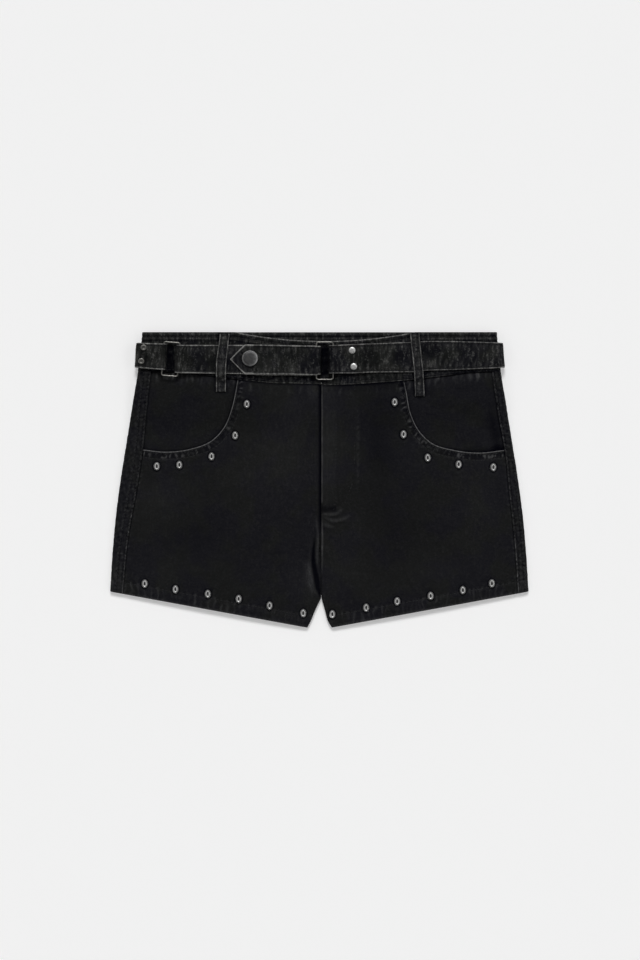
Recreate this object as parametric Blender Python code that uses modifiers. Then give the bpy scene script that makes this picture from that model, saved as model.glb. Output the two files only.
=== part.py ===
"""Studded faux leather shorts with their belt, laid flat with the front up.

Metres, +Z up. The shorts lie on z = 0 with the waist towards +Y. The origin is on that surface, under
the middle of the outline. Left and right are as seen from above. Tables give across, up and height in
millimetres: across is X, up is Y and height is Z.
"""

import math

import bpy
import numpy as np

MM = 0.001

# Cloth and seams.
CLOTH = 1.2
HEM_CLOTH = 1.8
BAND_CLOTH = 2.2
BELT_CLOTH = 1.6
LOOP_CLOTH = 1.6
BACK_LOOP_CLOTH = 1.2
SEAM_GAP = 0.3

# How the layers lie: the heights of the undersides at the waist, and of the front over the back.
BACK_BELT_BASE = BACK_LOOP_CLOTH + SEAM_GAP
BAND_BASE = BACK_BELT_BASE + BELT_CLOTH + SEAM_GAP
BAND_TOP = 9.0
FRONT_BELT_BASE = BAND_TOP + SEAM_GAP
WAIST_LIFT = 4.3
LIFT_FROM = 45.0
LIFT_TO = 104.0
LOFT = 4.4

# The front swells a little: as one crown above the crotch, and as one on each leg below it.
CROWN = 1.4
CROWN_FULL_UP = 60.0
CROWN_NONE_UP = 104.0
ONE_CROWN_UP = 20.0
TWO_CROWNS_UP = -125.0

# The right side of the fly lies over the left one.
FLY_STEP = 0.5
FLY_STEP_FROM = 26.0
FLY_STEP_TO = 12.0
FLY_STEP_LOW = -60.0
FLY_STEP_HIGH = -30.0
BAND_STEP_FROM = 9.0
BAND_STEP_TO = 4.0

# The outline, in the plane that the shorts lie in.
WAIST_UP = 153.6
HEM_OUTER = (217.8, -115.9)
HEM_INNER = (12.5, -153.5)
CENTRE_ACROSS = 2.0
CROTCH_UP = -122.9
HEM_DEPTH = 12.0

# Half width of the outline at each height above the origin line.
SIDE_EDGE = (
    # up, half_width
    (-116.0, 217.8),
    (-83.0, 215.8),
    (-42.0, 212.3),
    (0.0, 206.9),
    (41.0, 200.4),
    (83.0, 193.6),
    (113.0, 188.6),
    (142.0, 185.3),
    (153.6, 184.4),
)

# Width of the back panel that shows on the front, from the side fold to the side seam.
SIDE_SEAM = (
    # up, width_left, width_right
    (-118.0, 13.6, 11.3),
    (-60.0, 15.3, 11.4),
    (-15.0, 18.3, 11.3),
    (32.0, 18.3, 9.2),
    (70.0, 15.9, 10.0),
    (113.0, 13.6, 9.3),
)

# The inner side of one leg below the crotch, from the hem's corner up to the crotch.
LEG_NOTCH = (
    # up, from_centre_left, from_centre_right
    (-153.5, 14.2, 10.7),
    (-148.0, 11.3, 7.3),
    (-137.0, 6.7, 4.0),
    (-129.5, 3.3, 1.9),
    (-122.9, 0.0, 0.0),
)

# The scooped pocket mouths, from the waistband down and out to the side seam.
SCOOP_LEFT = (
    # across, up
    (-85.0, 106.0),
    (-86.6, 95.0),
    (-91.0, 75.0),
    (-98.6, 55.8),
    (-113.0, 40.3),
    (-134.0, 32.2),
    (-160.0, 29.2),
    (-183.6, 31.5),
)
SCOOP_RIGHT = (
    # across, up
    (88.0, 105.2),
    (90.6, 91.0),
    (95.0, 69.0),
    (103.6, 51.3),
    (117.5, 38.0),
    (140.0, 31.0),
    (165.7, 28.2),
    (192.5, 31.0),
)

# The fold where the left leg tucks under at the crotch.
CROTCH_FOLD = (
    # up, across
    (-122.0, 1.0),
    (-104.0, -3.2),
    (-85.0, -7.4),
    (-66.0, -6.0),
    (-50.0, -3.0),
)
CROTCH_FOLD_DEPTH = 1.3
CROTCH_FOLD_WIDTH = 4.0
CROTCH_FOLD_NONE_UP = -42.0
CROTCH_FOLD_FULL_UP = -66.0

# The waistband's lower edge hangs lower at the centre, and its upper edge dips there on the front.
BAND_LOW_SIDE = 112.7
BAND_LOW_DROP = 12.5
BAND_DROP_CENTRE = 6.0
BAND_DROP_REACH = 190.0
FRONT_DIP = 9.3
FRONT_DIP_CENTRE = 5.9
FRONT_DIP_REACH = 93.6

# The belt's edges on the front.
BELT_EDGES = (
    # across, lower, upper
    (-192.0, 116.6, 142.2),
    (-160.0, 114.8, 141.3),
    (-147.0, 112.2, 139.8),
    (-79.0, 111.2, 140.0),
    (-3.0, 109.7, 138.6),
    (12.0, 111.1, 139.7),
    (36.0, 111.2, 141.0),
    (74.0, 112.3, 142.4),
    (97.0, 112.3, 143.4),
    (112.0, 114.2, 144.3),
    (140.0, 114.7, 144.2),
    (192.0, 116.8, 142.6),
)

# The belt's lower and upper edge on the back, and how far out it reaches at the sides.
BELT_BACK_EDGES = (
    # up, half_width
    (116.7, 192.1),
    (142.4, 190.4),
)
BELT_CORNER = 1.7
BELT_FLAT_REACH = 185.0

# The under layers of the folded ends stop here, and the belt eases down over its own ends.
BELT_UNDER_LEFT = -186.0
BELT_UNDER_RIGHT = 47.5
STRAP_UNDER_RIGHT = -127.0
EASE_FROM_BAR = 10.0
EASE_OFF_UNDER = 10.0

# How far each fold stands off its bar, into the buckle.
LEFT_SLACK = 0.7
CENTRE_SLACK = 2.2

# The strap's end, folded back on top of it.
TAB_OVERHANG = 0.5
TAB_TIP = (-92.4, 125.2)
TAB_SHOULDER_ACROSS = -77.5
TAB_TIP_BLUNT = 0.8

# Buckles of bent wire. The belt's ends fold round their upright sides.
WIRE_RADIUS = 0.9
BUCKLES = (
    # name, across, up, width, length, turn in degrees, corner radius
    ("buckle_left", -154.3, 125.4, 18.2, 36.7, -4.5, 1.8),
    ("buckle_centre", 5.6, 123.6, 19.2, 40.6, 0.0, 2.4),
)
BAR_RADIUS = WIRE_RADIUS + SEAM_GAP + BELT_CLOTH / 2
BAR_HEIGHT = FRONT_BELT_BASE + BELT_CLOTH / 2 + BAR_RADIUS
LAYER_LOW = FRONT_BELT_BASE + BELT_CLOTH / 2
LAYER_HIGH = LAYER_LOW + BELT_CLOTH + SEAM_GAP
LAYER_BAR = BAR_HEIGHT + BAR_RADIUS
LAYER_BACK = BACK_BELT_BASE + BELT_CLOTH / 2

# Belt loops on the front: the middle of the upper and lower end.
LOOP_WIDTH = 10.8
LOOP_RISE = 5.5
LOOP_ROUND = 1.5
LOOP_SAG = 0.2
LOOP_FOOT = 4.5
BACK_LOOP_RISE = 3.5
BACK_LOOP_ROUND = 0.5
BACK_LOOP_SAG = 0.6
FRONT_LOOPS = (
    # name, across_top, up_top, across_low, up_low
    ("loop_front_left", -98.4, 151.8, -102.0, 91.4),
    ("loop_front_right", 99.2, 152.3, 105.2, 86.8),
)
BACK_LOOPS = (
    # name, across
    ("loop_back_left", -96.0),
    ("loop_back_centre", 2.0),
    ("loop_back_right", 100.0),
)
BACK_LOOP_UP = (101.0, 151.5)

# Metal trim: centres, and turned profiles from the middle of the top to the middle of the base.
SNAP_CENTRE = (-72.1, 126.2)
RIVETS = (
    # name, across, up, scale
    ("rivet_left_upper", -182.4, 137.4, 0.82),
    ("rivet_left_lower", -184.9, 123.2, 0.82),
    ("rivet_right_upper", 34.0, 134.5, 1.0),
    ("rivet_right_lower", 35.7, 117.7, 1.0),
)
STUD_ROWS = (
    # name, then the centre of each stud
    ("stud_pocket_left", ((-75.4, 78.6), (-87.6, 46.0), (-112.1, 24.2), (-145.6, 15.4), (-169.1, 14.0))),
    ("stud_pocket_right", ((78.3, 80.7), (87.5, 47.2), (112.7, 22.9), (144.9, 15.9), (181.0, 13.0))),
    ("stud_hem_left", ((-16.8, -138.8), (-51.8, -130.9), (-83.9, -123.9), (-116.0, -118.7),
                       (-150.3, -113.7), (-182.4, -108.0))),
    ("stud_hem_right", ((13.5, -139.9), (48.7, -133.1), (80.9, -126.4), (115.7, -120.8),
                        (149.2, -114.8), (179.4, -107.8))),
)
SNAP_PROFILE = ((0.0, 3.0), (4.6, 2.9), (6.8, 2.4), (7.2, 1.9), (8.3, 1.6), (8.3, 0.0), (0.0, 0.0))
RIVET_PROFILE = ((0.0, 1.3), (2.6, 1.2), (3.7, 0.6), (3.95, 0.0), (0.0, 0.0))
STUD_PROFILE = ((0.0, 2.1), (1.9, 2.7), (3.6, 1.7), (4.2, 0.0), (0.0, 0.0))
STUD_OVAL = 0.9

# Fineness of the meshes.
SCOOP_COLUMNS = 13
WAIST_COLUMNS = 7
PANEL_ROWS = 15
BACK_COLUMNS = 9
FOLD_STEPS = 6
STRIP_COLUMNS = 2
FACING_COLUMNS = 8
FACING_ROWS = 7
BAND_COLUMNS = 14
TURN_STEPS = 8


def smoothstep(value, start, end):
    """0 before start, 1 after end, and an easy curve between."""
    t = min(1.0, max(0.0, (value - start) / (end - start)))
    return t * t * (3.0 - 2.0 * t)


def through(places, values, at):
    """The value at a place on a smooth curve through a table's rows, whose places rise."""
    places = np.array(places, float)
    values = np.array(values, float)
    at = min(max(at, places[0]), places[-1])
    slopes = np.gradient(values, places)
    i = min(int(np.searchsorted(places, at, side="right")) - 1, len(places) - 2)
    width = places[i + 1] - places[i]
    t = (at - places[i]) / width
    return float(
        (2 * t**3 - 3 * t**2 + 1) * values[i]
        + (t**3 - 2 * t**2 + t) * width * slopes[i]
        + (3 * t**2 - 2 * t**3) * values[i + 1]
        + (t**3 - t**2) * width * slopes[i + 1]
    )


def column(table, index):
    return [row[index] for row in table]


def along(points, share):
    """The point at a share of the length of a smooth curve through the points."""
    points = np.array(points, float)
    lengths = np.concatenate([[0.0], np.cumsum(np.linalg.norm(np.diff(points, axis=0), axis=1))])
    place = share * lengths[-1]
    return np.array([through(lengths, points[:, k], place) for k in range(points.shape[1])])


def half_width(up):
    return through(column(SIDE_EDGE, 0), column(SIDE_EDGE, 1), up)


def seam_across(side, up):
    """The side seam on the front: the back panel ends here. side is -1 on the left, 1 on the right."""
    strip = through(column(SIDE_SEAM, 0), column(SIDE_SEAM, 1 if side < 0 else 2), up)
    return side * (half_width(up) - strip)


def band_low(across):
    """The waistband's lower edge on the front."""
    turn = min(1.0, abs(across - BAND_DROP_CENTRE) / BAND_DROP_REACH)
    return BAND_LOW_SIDE - BAND_LOW_DROP * (0.5 + 0.5 * math.cos(math.pi * turn))


def band_top(across):
    """The waistband's upper edge on the front."""
    turn = (across - FRONT_DIP_CENTRE) / FRONT_DIP_REACH
    return WAIST_UP - FRONT_DIP * max(0.0, 1.0 - turn * turn)


def hem_up(across):
    """The hem line, which rises from each leg's inner corner to its outer corner."""
    share = (abs(across) - HEM_INNER[0]) / (HEM_OUTER[0] - HEM_INNER[0])
    return HEM_INNER[1] + share * (HEM_OUTER[1] - HEM_INNER[1])


def inner_across(side, up):
    """The inner edge of a panel: the centre seam, and the side of the notch below the crotch."""
    spread = 0.0
    if up < CROTCH_UP:
        spread = through(column(LEG_NOTCH, 0), column(LEG_NOTCH, 1 if side < 0 else 2), up)
    return CENTRE_ACROSS + side * (SEAM_GAP / 2 + spread)


def back_height(up):
    """The underside of the back panels: flat on the ground, and lifted by the belt at the waist."""
    return WAIST_LIFT * smoothstep(up, LIFT_FROM, LIFT_TO)


def front_height(across, up):
    """The top surface of the front."""
    share = min(1.0, abs(across - CENTRE_ACROSS) / half_width(up))
    leg = smoothstep(-up, -ONE_CROWN_UP, -TWO_CROWNS_UP)
    two_crowns = math.sin(math.pi * (1.0 - share))
    one_crown = math.sin(math.pi / 2 * (1.0 - share))
    easing = 1.0 - smoothstep(up, CROWN_FULL_UP, CROWN_NONE_UP)
    crown = CROWN * easing * (leg * two_crowns + (1.0 - leg) * one_crown)
    fold_across = through(column(CROTCH_FOLD, 0), column(CROTCH_FOLD, 1), up)
    fold_depth = CROTCH_FOLD_DEPTH * smoothstep(-up, -CROTCH_FOLD_NONE_UP, -CROTCH_FOLD_FULL_UP)
    fold = fold_depth * math.exp(-(((across - fold_across) / CROTCH_FOLD_WIDTH) ** 2))
    return back_height(up) + LOFT + crown - fold


def seat_height(across, up, radius):
    """The highest point of the front under a round piece."""
    ring = [(radius * math.cos(a), radius * math.sin(a)) for a in np.linspace(0.0, 2.0 * math.pi, 9)]
    return max(front_height(across + x, up + y) for x, y in [(0.0, 0.0), *ring])


def make_material(name, colour, roughness, metallic):
    material = bpy.data.materials.new(name)
    material.use_nodes = True
    shader = material.node_tree.nodes["Principled BSDF"]
    shader.inputs["Base Color"].default_value = (*colour, 1.0)
    shader.inputs["Roughness"].default_value = roughness
    shader.inputs["Metallic"].default_value = metallic
    return material


def add_object(name, mesh, collection, material):
    part = bpy.data.objects.new(name, mesh)
    part.data.materials.append(material)
    collection.objects.link(part)
    return part


def sheet(name, rows, thickness, offset, collection, material, thin=None):
    """Cloth through rows of points in millimetres, given a thickness.

    With thin, a pair of a function of across and up and a factor, the cloth is full where the function
    gives 1, and thinned by the factor where it gives 0.
    """
    wide = len(rows[0])
    places = [point for row in rows for point in row]
    points = [tuple(value * MM for value in point) for point in places]
    faces = []
    for r in range(len(rows) - 1):
        for c in range(wide - 1):
            corner = r * wide + c
            faces.append((corner, corner + 1, corner + wide + 1, corner + wide))
    mesh = bpy.data.meshes.new(name)
    mesh.from_pydata(points, [], faces)
    mesh.update()
    mesh.shade_smooth()
    mesh.set_sharp_from_angle(angle=math.radians(50.0))
    part = add_object(name, mesh, collection, material)
    solid = part.modifiers.new("cloth", "SOLIDIFY")
    solid.thickness = thickness * MM
    solid.offset = offset
    solid.use_even_offset = True
    if thin:
        weight, factor = thin
        group = part.vertex_groups.new(name="full thickness")
        for index, (across, up, _) in enumerate(places):
            group.add([index], weight(across, up), "REPLACE")
        solid.vertex_group = group.name
        solid.thickness_vertex_group = factor
    return part


def hem_weight(across, up):
    """1 on the turned-up hem and 0 above it."""
    return 1.0 if up < hem_up(across) + HEM_DEPTH + 1.0 else 0.0


def panel_shares():
    """Shares of the way up a panel: one row on the hem's stitch line, then even rows."""
    hem = HEM_DEPTH / (BAND_LOW_SIDE - HEM_OUTER[1])
    return [0.0, hem] + [hem + (1.0 - hem) * r / (PANEL_ROWS - 1) for r in range(1, PANEL_ROWS)]


def front_panel(side, collection, material):
    """One front: its edges are the hem, the side seam, the centre seam, and the scoop and waist."""
    scoop = SCOOP_LEFT if side < 0 else SCOOP_RIGHT
    scoop = [np.array(point) for point in reversed(scoop)]
    scoop[0] = np.array([seam_across(side, scoop[0][1]) - side * SEAM_GAP, scoop[0][1]])
    scoop[-1] = np.array([scoop[-1][0], band_low(scoop[-1][0]) - SEAM_GAP])
    columns = SCOOP_COLUMNS + WAIST_COLUMNS
    seam_foot = seam_across(side, HEM_OUTER[1]) - side * SEAM_GAP
    centre = inner_across(side, 0.0)

    def top_edge(c):
        if c <= SCOOP_COLUMNS:
            return along(scoop, c / SCOOP_COLUMNS)
        across = scoop[-1][0] + (centre - scoop[-1][0]) * (c - SCOOP_COLUMNS) / WAIST_COLUMNS
        return np.array([across, band_low(across) - SEAM_GAP])

    def hem_edge(c):
        foot = inner_across(side, HEM_INNER[1])
        across = seam_foot + (foot - seam_foot) * c / columns
        return np.array([across, hem_up(across)])

    rows = []
    for t in panel_shares():
        outer_up = hem_edge(0)[1] + (top_edge(0)[1] - hem_edge(0)[1]) * t
        inner_up = hem_edge(columns)[1] + (top_edge(columns)[1] - hem_edge(columns)[1]) * t
        outer = np.array([seam_across(side, outer_up) - side * SEAM_GAP, outer_up])
        inner = np.array([inner_across(side, inner_up), inner_up])
        row = []
        for c in range(columns + 1):
            s = c / columns
            point = (1 - t) * hem_edge(c) + t * top_edge(c)
            point = point + (1 - s) * (outer - (1 - t) * hem_edge(0) - t * top_edge(0))
            point = point + s * (inner - (1 - t) * hem_edge(columns) - t * top_edge(columns))
            across, up = point
            height = front_height(across, up)
            if side > 0:
                near_fly = FLY_STEP * smoothstep(-across, -FLY_STEP_FROM, -FLY_STEP_TO)
                height += near_fly * smoothstep(up, FLY_STEP_LOW, FLY_STEP_HIGH)
            row.append((across, up, height))
        rows.append(row if side < 0 else row[::-1])
    name = "front_left" if side < 0 else "front_right"
    return sheet(name, rows, HEM_CLOTH, -1.0, collection, material, (hem_weight, CLOTH / HEM_CLOTH))


def back_panel(side, collection, material):
    """One back: flat on the ground, round the side fold and on to the side seam on the front."""
    rows = []
    top = BAND_LOW_SIDE - SEAM_GAP
    for t in panel_shares():
        outer_up = HEM_OUTER[1] + (top - HEM_OUTER[1]) * t
        inner_up = HEM_INNER[1] + (top - HEM_INNER[1]) * t
        edge = half_width(outer_up)
        inner = inner_across(side, inner_up)
        slope = (inner_up - outer_up) / (edge - abs(inner))

        def up_at(across):
            return outer_up + slope * (edge - abs(across))

        fold = LOFT / 2
        bend = edge - fold
        row = []
        for c in range(BACK_COLUMNS):
            across = inner + (side * bend - inner) * c / BACK_COLUMNS
            row.append((across, up_at(across), back_height(up_at(across))))
        base = back_height(outer_up)
        for c in range(FOLD_STEPS + 1):
            turn = math.pi * c / FOLD_STEPS
            across = side * (bend + fold * math.sin(turn))
            row.append((across, up_at(across), base + fold * (1.0 - math.cos(turn))))
        seam = seam_across(side, up_at(seam_across(side, outer_up)))
        for c in range(1, STRIP_COLUMNS + 1):
            across = side * bend + (seam - side * bend) * c / STRIP_COLUMNS
            row.append((across, up_at(across), front_height(across, up_at(across))))
        rows.append(row[::-1] if side < 0 else row)
    name = "back_left" if side < 0 else "back_right"
    weights = (hem_weight, CLOTH / HEM_CLOTH)
    return sheet(name, rows[::-1], HEM_CLOTH, -1.0, collection, material, weights)


def pocket_facing(side, collection, material):
    """The cloth seen inside a pocket's scoop, which goes on a little way under the front."""
    underlap = 14.0
    scoop = SCOOP_LEFT if side < 0 else SCOOP_RIGHT
    low = min(column(scoop, 1)) - underlap
    inner = scoop[0][0] - side * underlap
    drop = CLOTH + SEAM_GAP
    rows = []
    for r in range(FACING_ROWS + 1):
        t = r / FACING_ROWS
        row = []
        for c in range(FACING_COLUMNS + 1):
            s = c / FACING_COLUMNS
            outer_up = low + (BAND_LOW_SIDE - SEAM_GAP - low) * t
            outer = seam_across(side, outer_up) - side * SEAM_GAP
            across = inner + (outer - inner) * s
            up = low + (band_low(across) - SEAM_GAP - low) * t
            row.append((across, up, front_height(across, up) - drop))
        rows.append(row[::-1] if side < 0 else row)
    name = "pocket_facing_left" if side < 0 else "pocket_facing_right"
    return sheet(name, rows, CLOTH, -1.0, collection, material)


def waistband(collection, material):
    """One strip: from the fly to the left fold, across the back, and round the right fold."""
    low_height = BAND_BASE + BAND_CLOTH / 2
    high_height = BAND_TOP - BAND_CLOTH / 2
    fold = (high_height - low_height) / 2
    middle = (high_height + low_height) / 2
    rows = []
    for r in range(4):
        t = r / 3
        edge = half_width(BAND_LOW_SIDE + (WAIST_UP - BAND_LOW_SIDE) * t) - BAND_CLOTH / 2
        bend = edge - fold

        def front_point(across, step):
            up = band_low(across) + (band_top(across) - band_low(across)) * t
            return (across, up, high_height + step)

        side_up = BAND_LOW_SIDE + (WAIST_UP - BAND_LOW_SIDE) * t
        row = []
        left_end = CENTRE_ACROSS - SEAM_GAP / 2
        for c in range(BAND_COLUMNS):
            row.append(front_point(left_end + (-bend - left_end) * c / BAND_COLUMNS, 0.0))
        for c in range(FOLD_STEPS + 1):
            turn = math.pi * c / FOLD_STEPS
            row.append((-bend - fold * math.sin(turn), side_up, middle + fold * math.cos(turn)))
        for c in range(1, BAND_COLUMNS):
            row.append((-bend + 2 * bend * c / BAND_COLUMNS, side_up, low_height))
        for c in range(FOLD_STEPS + 1):
            turn = math.pi * c / FOLD_STEPS
            row.append((bend + fold * math.sin(turn), side_up, middle - fold * math.cos(turn)))
        right_end = CENTRE_ACROSS + SEAM_GAP / 2
        for c in range(1, BAND_COLUMNS + 1):
            across = bend + (right_end - bend) * c / BAND_COLUMNS
            row.append(front_point(across, FLY_STEP * smoothstep(-across, -BAND_STEP_FROM, -BAND_STEP_TO)))
        rows.append(row)
    return sheet("waistband", rows[::-1], BAND_CLOTH, 0.0, collection, material)


def turn_round(across, height, radius, start, end):
    """Points of a fold round a bar, from one angle to another, in degrees in the X-Z plane."""
    points = []
    for c in range(TURN_STEPS + 1):
        angle = math.radians(start + (end - start) * c / TURN_STEPS)
        points.append((across + radius * math.cos(angle), height + radius * math.sin(angle)))
    return points


def run(start, end, pieces):
    """Points on the way from one (across, height) to another, without the first, eased in height."""
    points = []
    for c in range(1, pieces + 1):
        t = c / pieces
        ease = t * t * (3.0 - 2.0 * t)
        points.append((start[0] + (end[0] - start[0]) * t, start[1] + (end[1] - start[1]) * ease))
    return points


def side_turn(side, upper, lower, reach):
    """The belt round the waistband's side: two rounded corners between the front and the back run."""
    centre = side * (reach - BELT_CLOTH / 2 - BELT_CORNER)
    points = []
    for height, start in ((upper - BELT_CORNER, 90.0), (lower + BELT_CORNER, 0.0)):
        for c in range(4):
            angle = math.radians(start - 30.0 * c)
            across = centre + side * BELT_CORNER * math.cos(angle)
            points.append((across, height + BELT_CORNER * math.sin(angle)))
    return points


def belt_edges(across):
    """The belt's lower and upper edge on the front."""
    places = column(BELT_EDGES, 0)
    return [float(np.interp(across, places, column(BELT_EDGES, k))) for k in (1, 2)]


def leaned(across, up):
    """Where a point of the belt goes so that its folds follow the left buckle's slant."""
    _, centre_across, centre_up, _, _, turn, _ = BUCKLES[0]
    near = 1.0 - smoothstep(abs(across - centre_across), 12.0, 30.0)
    return across - near * (up - centre_up) * math.tan(math.radians(turn))


def belt(collection, material):
    """The belt's main run: both of its ends fold under, round an upright side of a buckle."""
    left_bar = BUCKLES[0][1] - BUCKLES[0][3] / 2 + WIRE_RADIUS
    right_bar = BUCKLES[1][1] + BUCKLES[1][3] / 2 - WIRE_RADIUS
    rows = []
    for level, (back_up, reach) in enumerate(BELT_BACK_EDGES):
        path = [(BELT_UNDER_RIGHT, LAYER_LOW)]
        path += run(path[-1], (right_bar - CENTRE_SLACK, LAYER_LOW), 3)[:-1]
        path += turn_round(right_bar - CENTRE_SLACK, BAR_HEIGHT, BAR_RADIUS, 270.0, 90.0)
        path.append((right_bar, LAYER_BAR))
        path += run(path[-1], (right_bar + EASE_FROM_BAR, LAYER_HIGH), 3)
        path += run(path[-1], (BELT_UNDER_RIGHT + SEAM_GAP, LAYER_HIGH), 2)
        path += run(path[-1], (BELT_UNDER_RIGHT + EASE_OFF_UNDER, LAYER_LOW), 3)
        path += run(path[-1], (BELT_FLAT_REACH, LAYER_LOW), 7)
        turn_start = len(path)
        path += side_turn(1, LAYER_LOW, LAYER_BACK, reach)
        path += run((BELT_FLAT_REACH, LAYER_BACK), (-BELT_FLAT_REACH, LAYER_BACK), 8)
        path += side_turn(-1, LAYER_HIGH, LAYER_BACK, reach)[::-1]
        turn_end = len(path)
        path.append((left_bar - EASE_FROM_BAR, LAYER_HIGH))
        path += run(path[-1], (left_bar, LAYER_BAR), 3)
        path += turn_round(left_bar + LEFT_SLACK, BAR_HEIGHT, BAR_RADIUS, 90.0, -90.0)
        path += run(path[-1], (BELT_UNDER_LEFT, LAYER_LOW), 3)
        row = []
        for index, (across, height) in enumerate(path):
            if turn_start <= index < turn_end:
                row.append((across, back_up, height))
            else:
                up = belt_edges(across)[level]
                row.append((leaned(across, up), up, height))
        rows.append(row)
    return sheet("belt", rows, BELT_CLOTH, 0.0, collection, material)


def strap(collection, material):
    """The belt's strap: folded round the left buckle, then round the centre one and back to its tip."""
    left_bar = BUCKLES[0][1] + BUCKLES[0][3] / 2 - WIRE_RADIUS
    right_bar = BUCKLES[1][1] - BUCKLES[1][3] / 2 + WIRE_RADIUS
    path = [(STRAP_UNDER_RIGHT, LAYER_LOW)]
    path += run(path[-1], (left_bar - LEFT_SLACK, LAYER_LOW), 2)[:-1]
    path += turn_round(left_bar - LEFT_SLACK, BAR_HEIGHT, BAR_RADIUS, 270.0, 90.0)
    path.append((left_bar, LAYER_BAR))
    path += run(path[-1], (left_bar + EASE_FROM_BAR, LAYER_HIGH), 3)
    path += run(path[-1], (STRAP_UNDER_RIGHT + SEAM_GAP, LAYER_HIGH), 2)
    path += run(path[-1], (STRAP_UNDER_RIGHT + EASE_OFF_UNDER, LAYER_LOW), 3)
    path += run(path[-1], (right_bar + CENTRE_SLACK, LAYER_LOW), 7)[:-1]
    path += turn_round(right_bar + CENTRE_SLACK, BAR_HEIGHT, BAR_RADIUS, -90.0, 90.0)
    tab_start = len(path)
    path.append((right_bar, LAYER_BAR))
    path += run(path[-1], (right_bar - EASE_FROM_BAR, LAYER_HIGH), 3)
    path += run(path[-1], (TAB_SHOULDER_ACROSS, LAYER_HIGH), 5)
    shoulder = len(path)
    path += run(path[-1], (TAB_TIP[0], LAYER_HIGH), 2)
    rows = []
    for level, outward in enumerate((-1.0, 1.0)):
        row = []
        for index, (across, height) in enumerate(path):
            up = belt_edges(across)[level]
            if index >= tab_start:
                up += outward * TAB_OVERHANG
            if index >= shoulder:
                t = (across - TAB_SHOULDER_ACROSS) / (TAB_TIP[0] - TAB_SHOULDER_ACROSS)
                up += (TAB_TIP[1] + outward * TAB_TIP_BLUNT - up) * t
            row.append((leaned(across, up), up, height))
        rows.append(row)
    return sheet("strap", rows, BELT_CLOTH, 0.0, collection, material)


def front_loop(name, across_top, up_top, across_low, up_low, collection, material):
    """A belt loop: sewn on at both ends, and lifted over the belt between them."""
    half = LOOP_CLOTH / 2
    belt_low, belt_high = belt_edges((across_top + across_low) / 2)
    over = LAYER_LOW + BELT_CLOTH / 2 + SEAM_GAP + half
    on_band = FRONT_BELT_BASE + half
    foot_drop = CLOTH - half
    band_edge = band_low(across_low)
    profile = [
        (up_top, on_band),
        (belt_high + LOOP_RISE, on_band),
        (belt_high + LOOP_ROUND, over - LOOP_SAG),
        (belt_high - LOOP_ROUND, over),
        ((belt_low + belt_high) / 2, over),
        (belt_low + LOOP_ROUND, over),
        (belt_low - LOOP_ROUND, over - LOOP_SAG),
        (band_edge - LOOP_ROUND / 2, on_band + LOOP_SAG),
    ]
    foot_from = band_edge - LOOP_FOOT
    for c in range(3):
        up = foot_from + (up_low - foot_from) * c / 2
        profile.append((up, front_height(across_low, up) - foot_drop))
    rows = []
    for outward in (-1.0, 1.0):
        row = []
        for up, height in profile:
            t = (up_top - up) / (up_top - up_low)
            across = across_top + (across_low - across_top) * t
            row.append((across + outward * LOOP_WIDTH / 2, up, height))
        rows.append(row)
    return sheet(name, rows, LOOP_CLOTH, 0.0, collection, material)


def back_loop(name, across, collection, material):
    """A belt loop on the back: the belt's back run lies on it."""
    half = BACK_LOOP_CLOTH / 2
    low, high = column(BELT_BACK_EDGES, 0)
    end_height = BAND_BASE - SEAM_GAP - half
    profile = [
        (BACK_LOOP_UP[1], end_height),
        (high + BACK_LOOP_RISE, end_height),
        (high + BACK_LOOP_ROUND, half),
        (low - BACK_LOOP_ROUND, half),
        (low - BACK_LOOP_RISE, end_height),
        (BACK_LOOP_UP[0], end_height - BACK_LOOP_SAG),
    ]
    rows = []
    for outward in (-1.0, 1.0):
        rows.append([(across + outward * LOOP_WIDTH / 2, up, height) for up, height in profile])
    return sheet(name, rows, BACK_LOOP_CLOTH, 0.0, collection, material)


def buckle(name, across, up, width, length, turn, corner, collection, material):
    """A rectangle of bent wire with rounded corners."""
    curve = bpy.data.curves.new(name, "CURVE")
    curve.dimensions = "3D"
    curve.bevel_depth = WIRE_RADIUS * MM
    curve.bevel_resolution = 1
    half_across = width / 2 - WIRE_RADIUS - corner
    half_up = length / 2 - WIRE_RADIUS - corner
    points = []
    for quarter, (sign_x, sign_y) in enumerate(((1, 1), (-1, 1), (-1, -1), (1, -1))):
        for c in range(4):
            angle = math.radians(90.0 * quarter + 30.0 * c)
            points.append((
                sign_x * half_across + corner * math.cos(angle),
                sign_y * half_up + corner * math.sin(angle),
            ))
    spline = curve.splines.new("POLY")
    spline.points.add(len(points) - 1)
    for point, (x, y) in zip(spline.points, points):
        point.co = (x * MM, y * MM, 0.0, 1.0)
    spline.use_cyclic_u = True
    spline.use_smooth = True
    part = add_object(name, curve, collection, material)
    part.location = (across * MM, up * MM, BAR_HEIGHT * MM)
    part.rotation_euler = (0.0, 0.0, math.radians(turn))
    return part


def turned_mesh(name, profile):
    """A profile of (radius, height) rows as a line of edges, for a Screw modifier."""
    mesh = bpy.data.meshes.new(name)
    points = [(radius * MM, 0.0, height * MM) for radius, height in profile]
    mesh.from_pydata(points, [(i, i + 1) for i in range(len(points) - 1)], [])
    return mesh


def turned(name, mesh, across, up, base, scale, steps, collection, material):
    """A turned piece of trim with its base at a height."""
    part = bpy.data.objects.new(name, mesh)
    if not mesh.materials:
        mesh.materials.append(material)
    collection.objects.link(part)
    screw = part.modifiers.new("turn", "SCREW")
    screw.steps = steps
    screw.render_steps = steps
    screw.use_merge_vertices = True
    screw.merge_threshold = 0.00001
    screw.use_smooth_shade = True
    part.location = (across * MM, up * MM, base * MM)
    part.scale = scale
    return part


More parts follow.
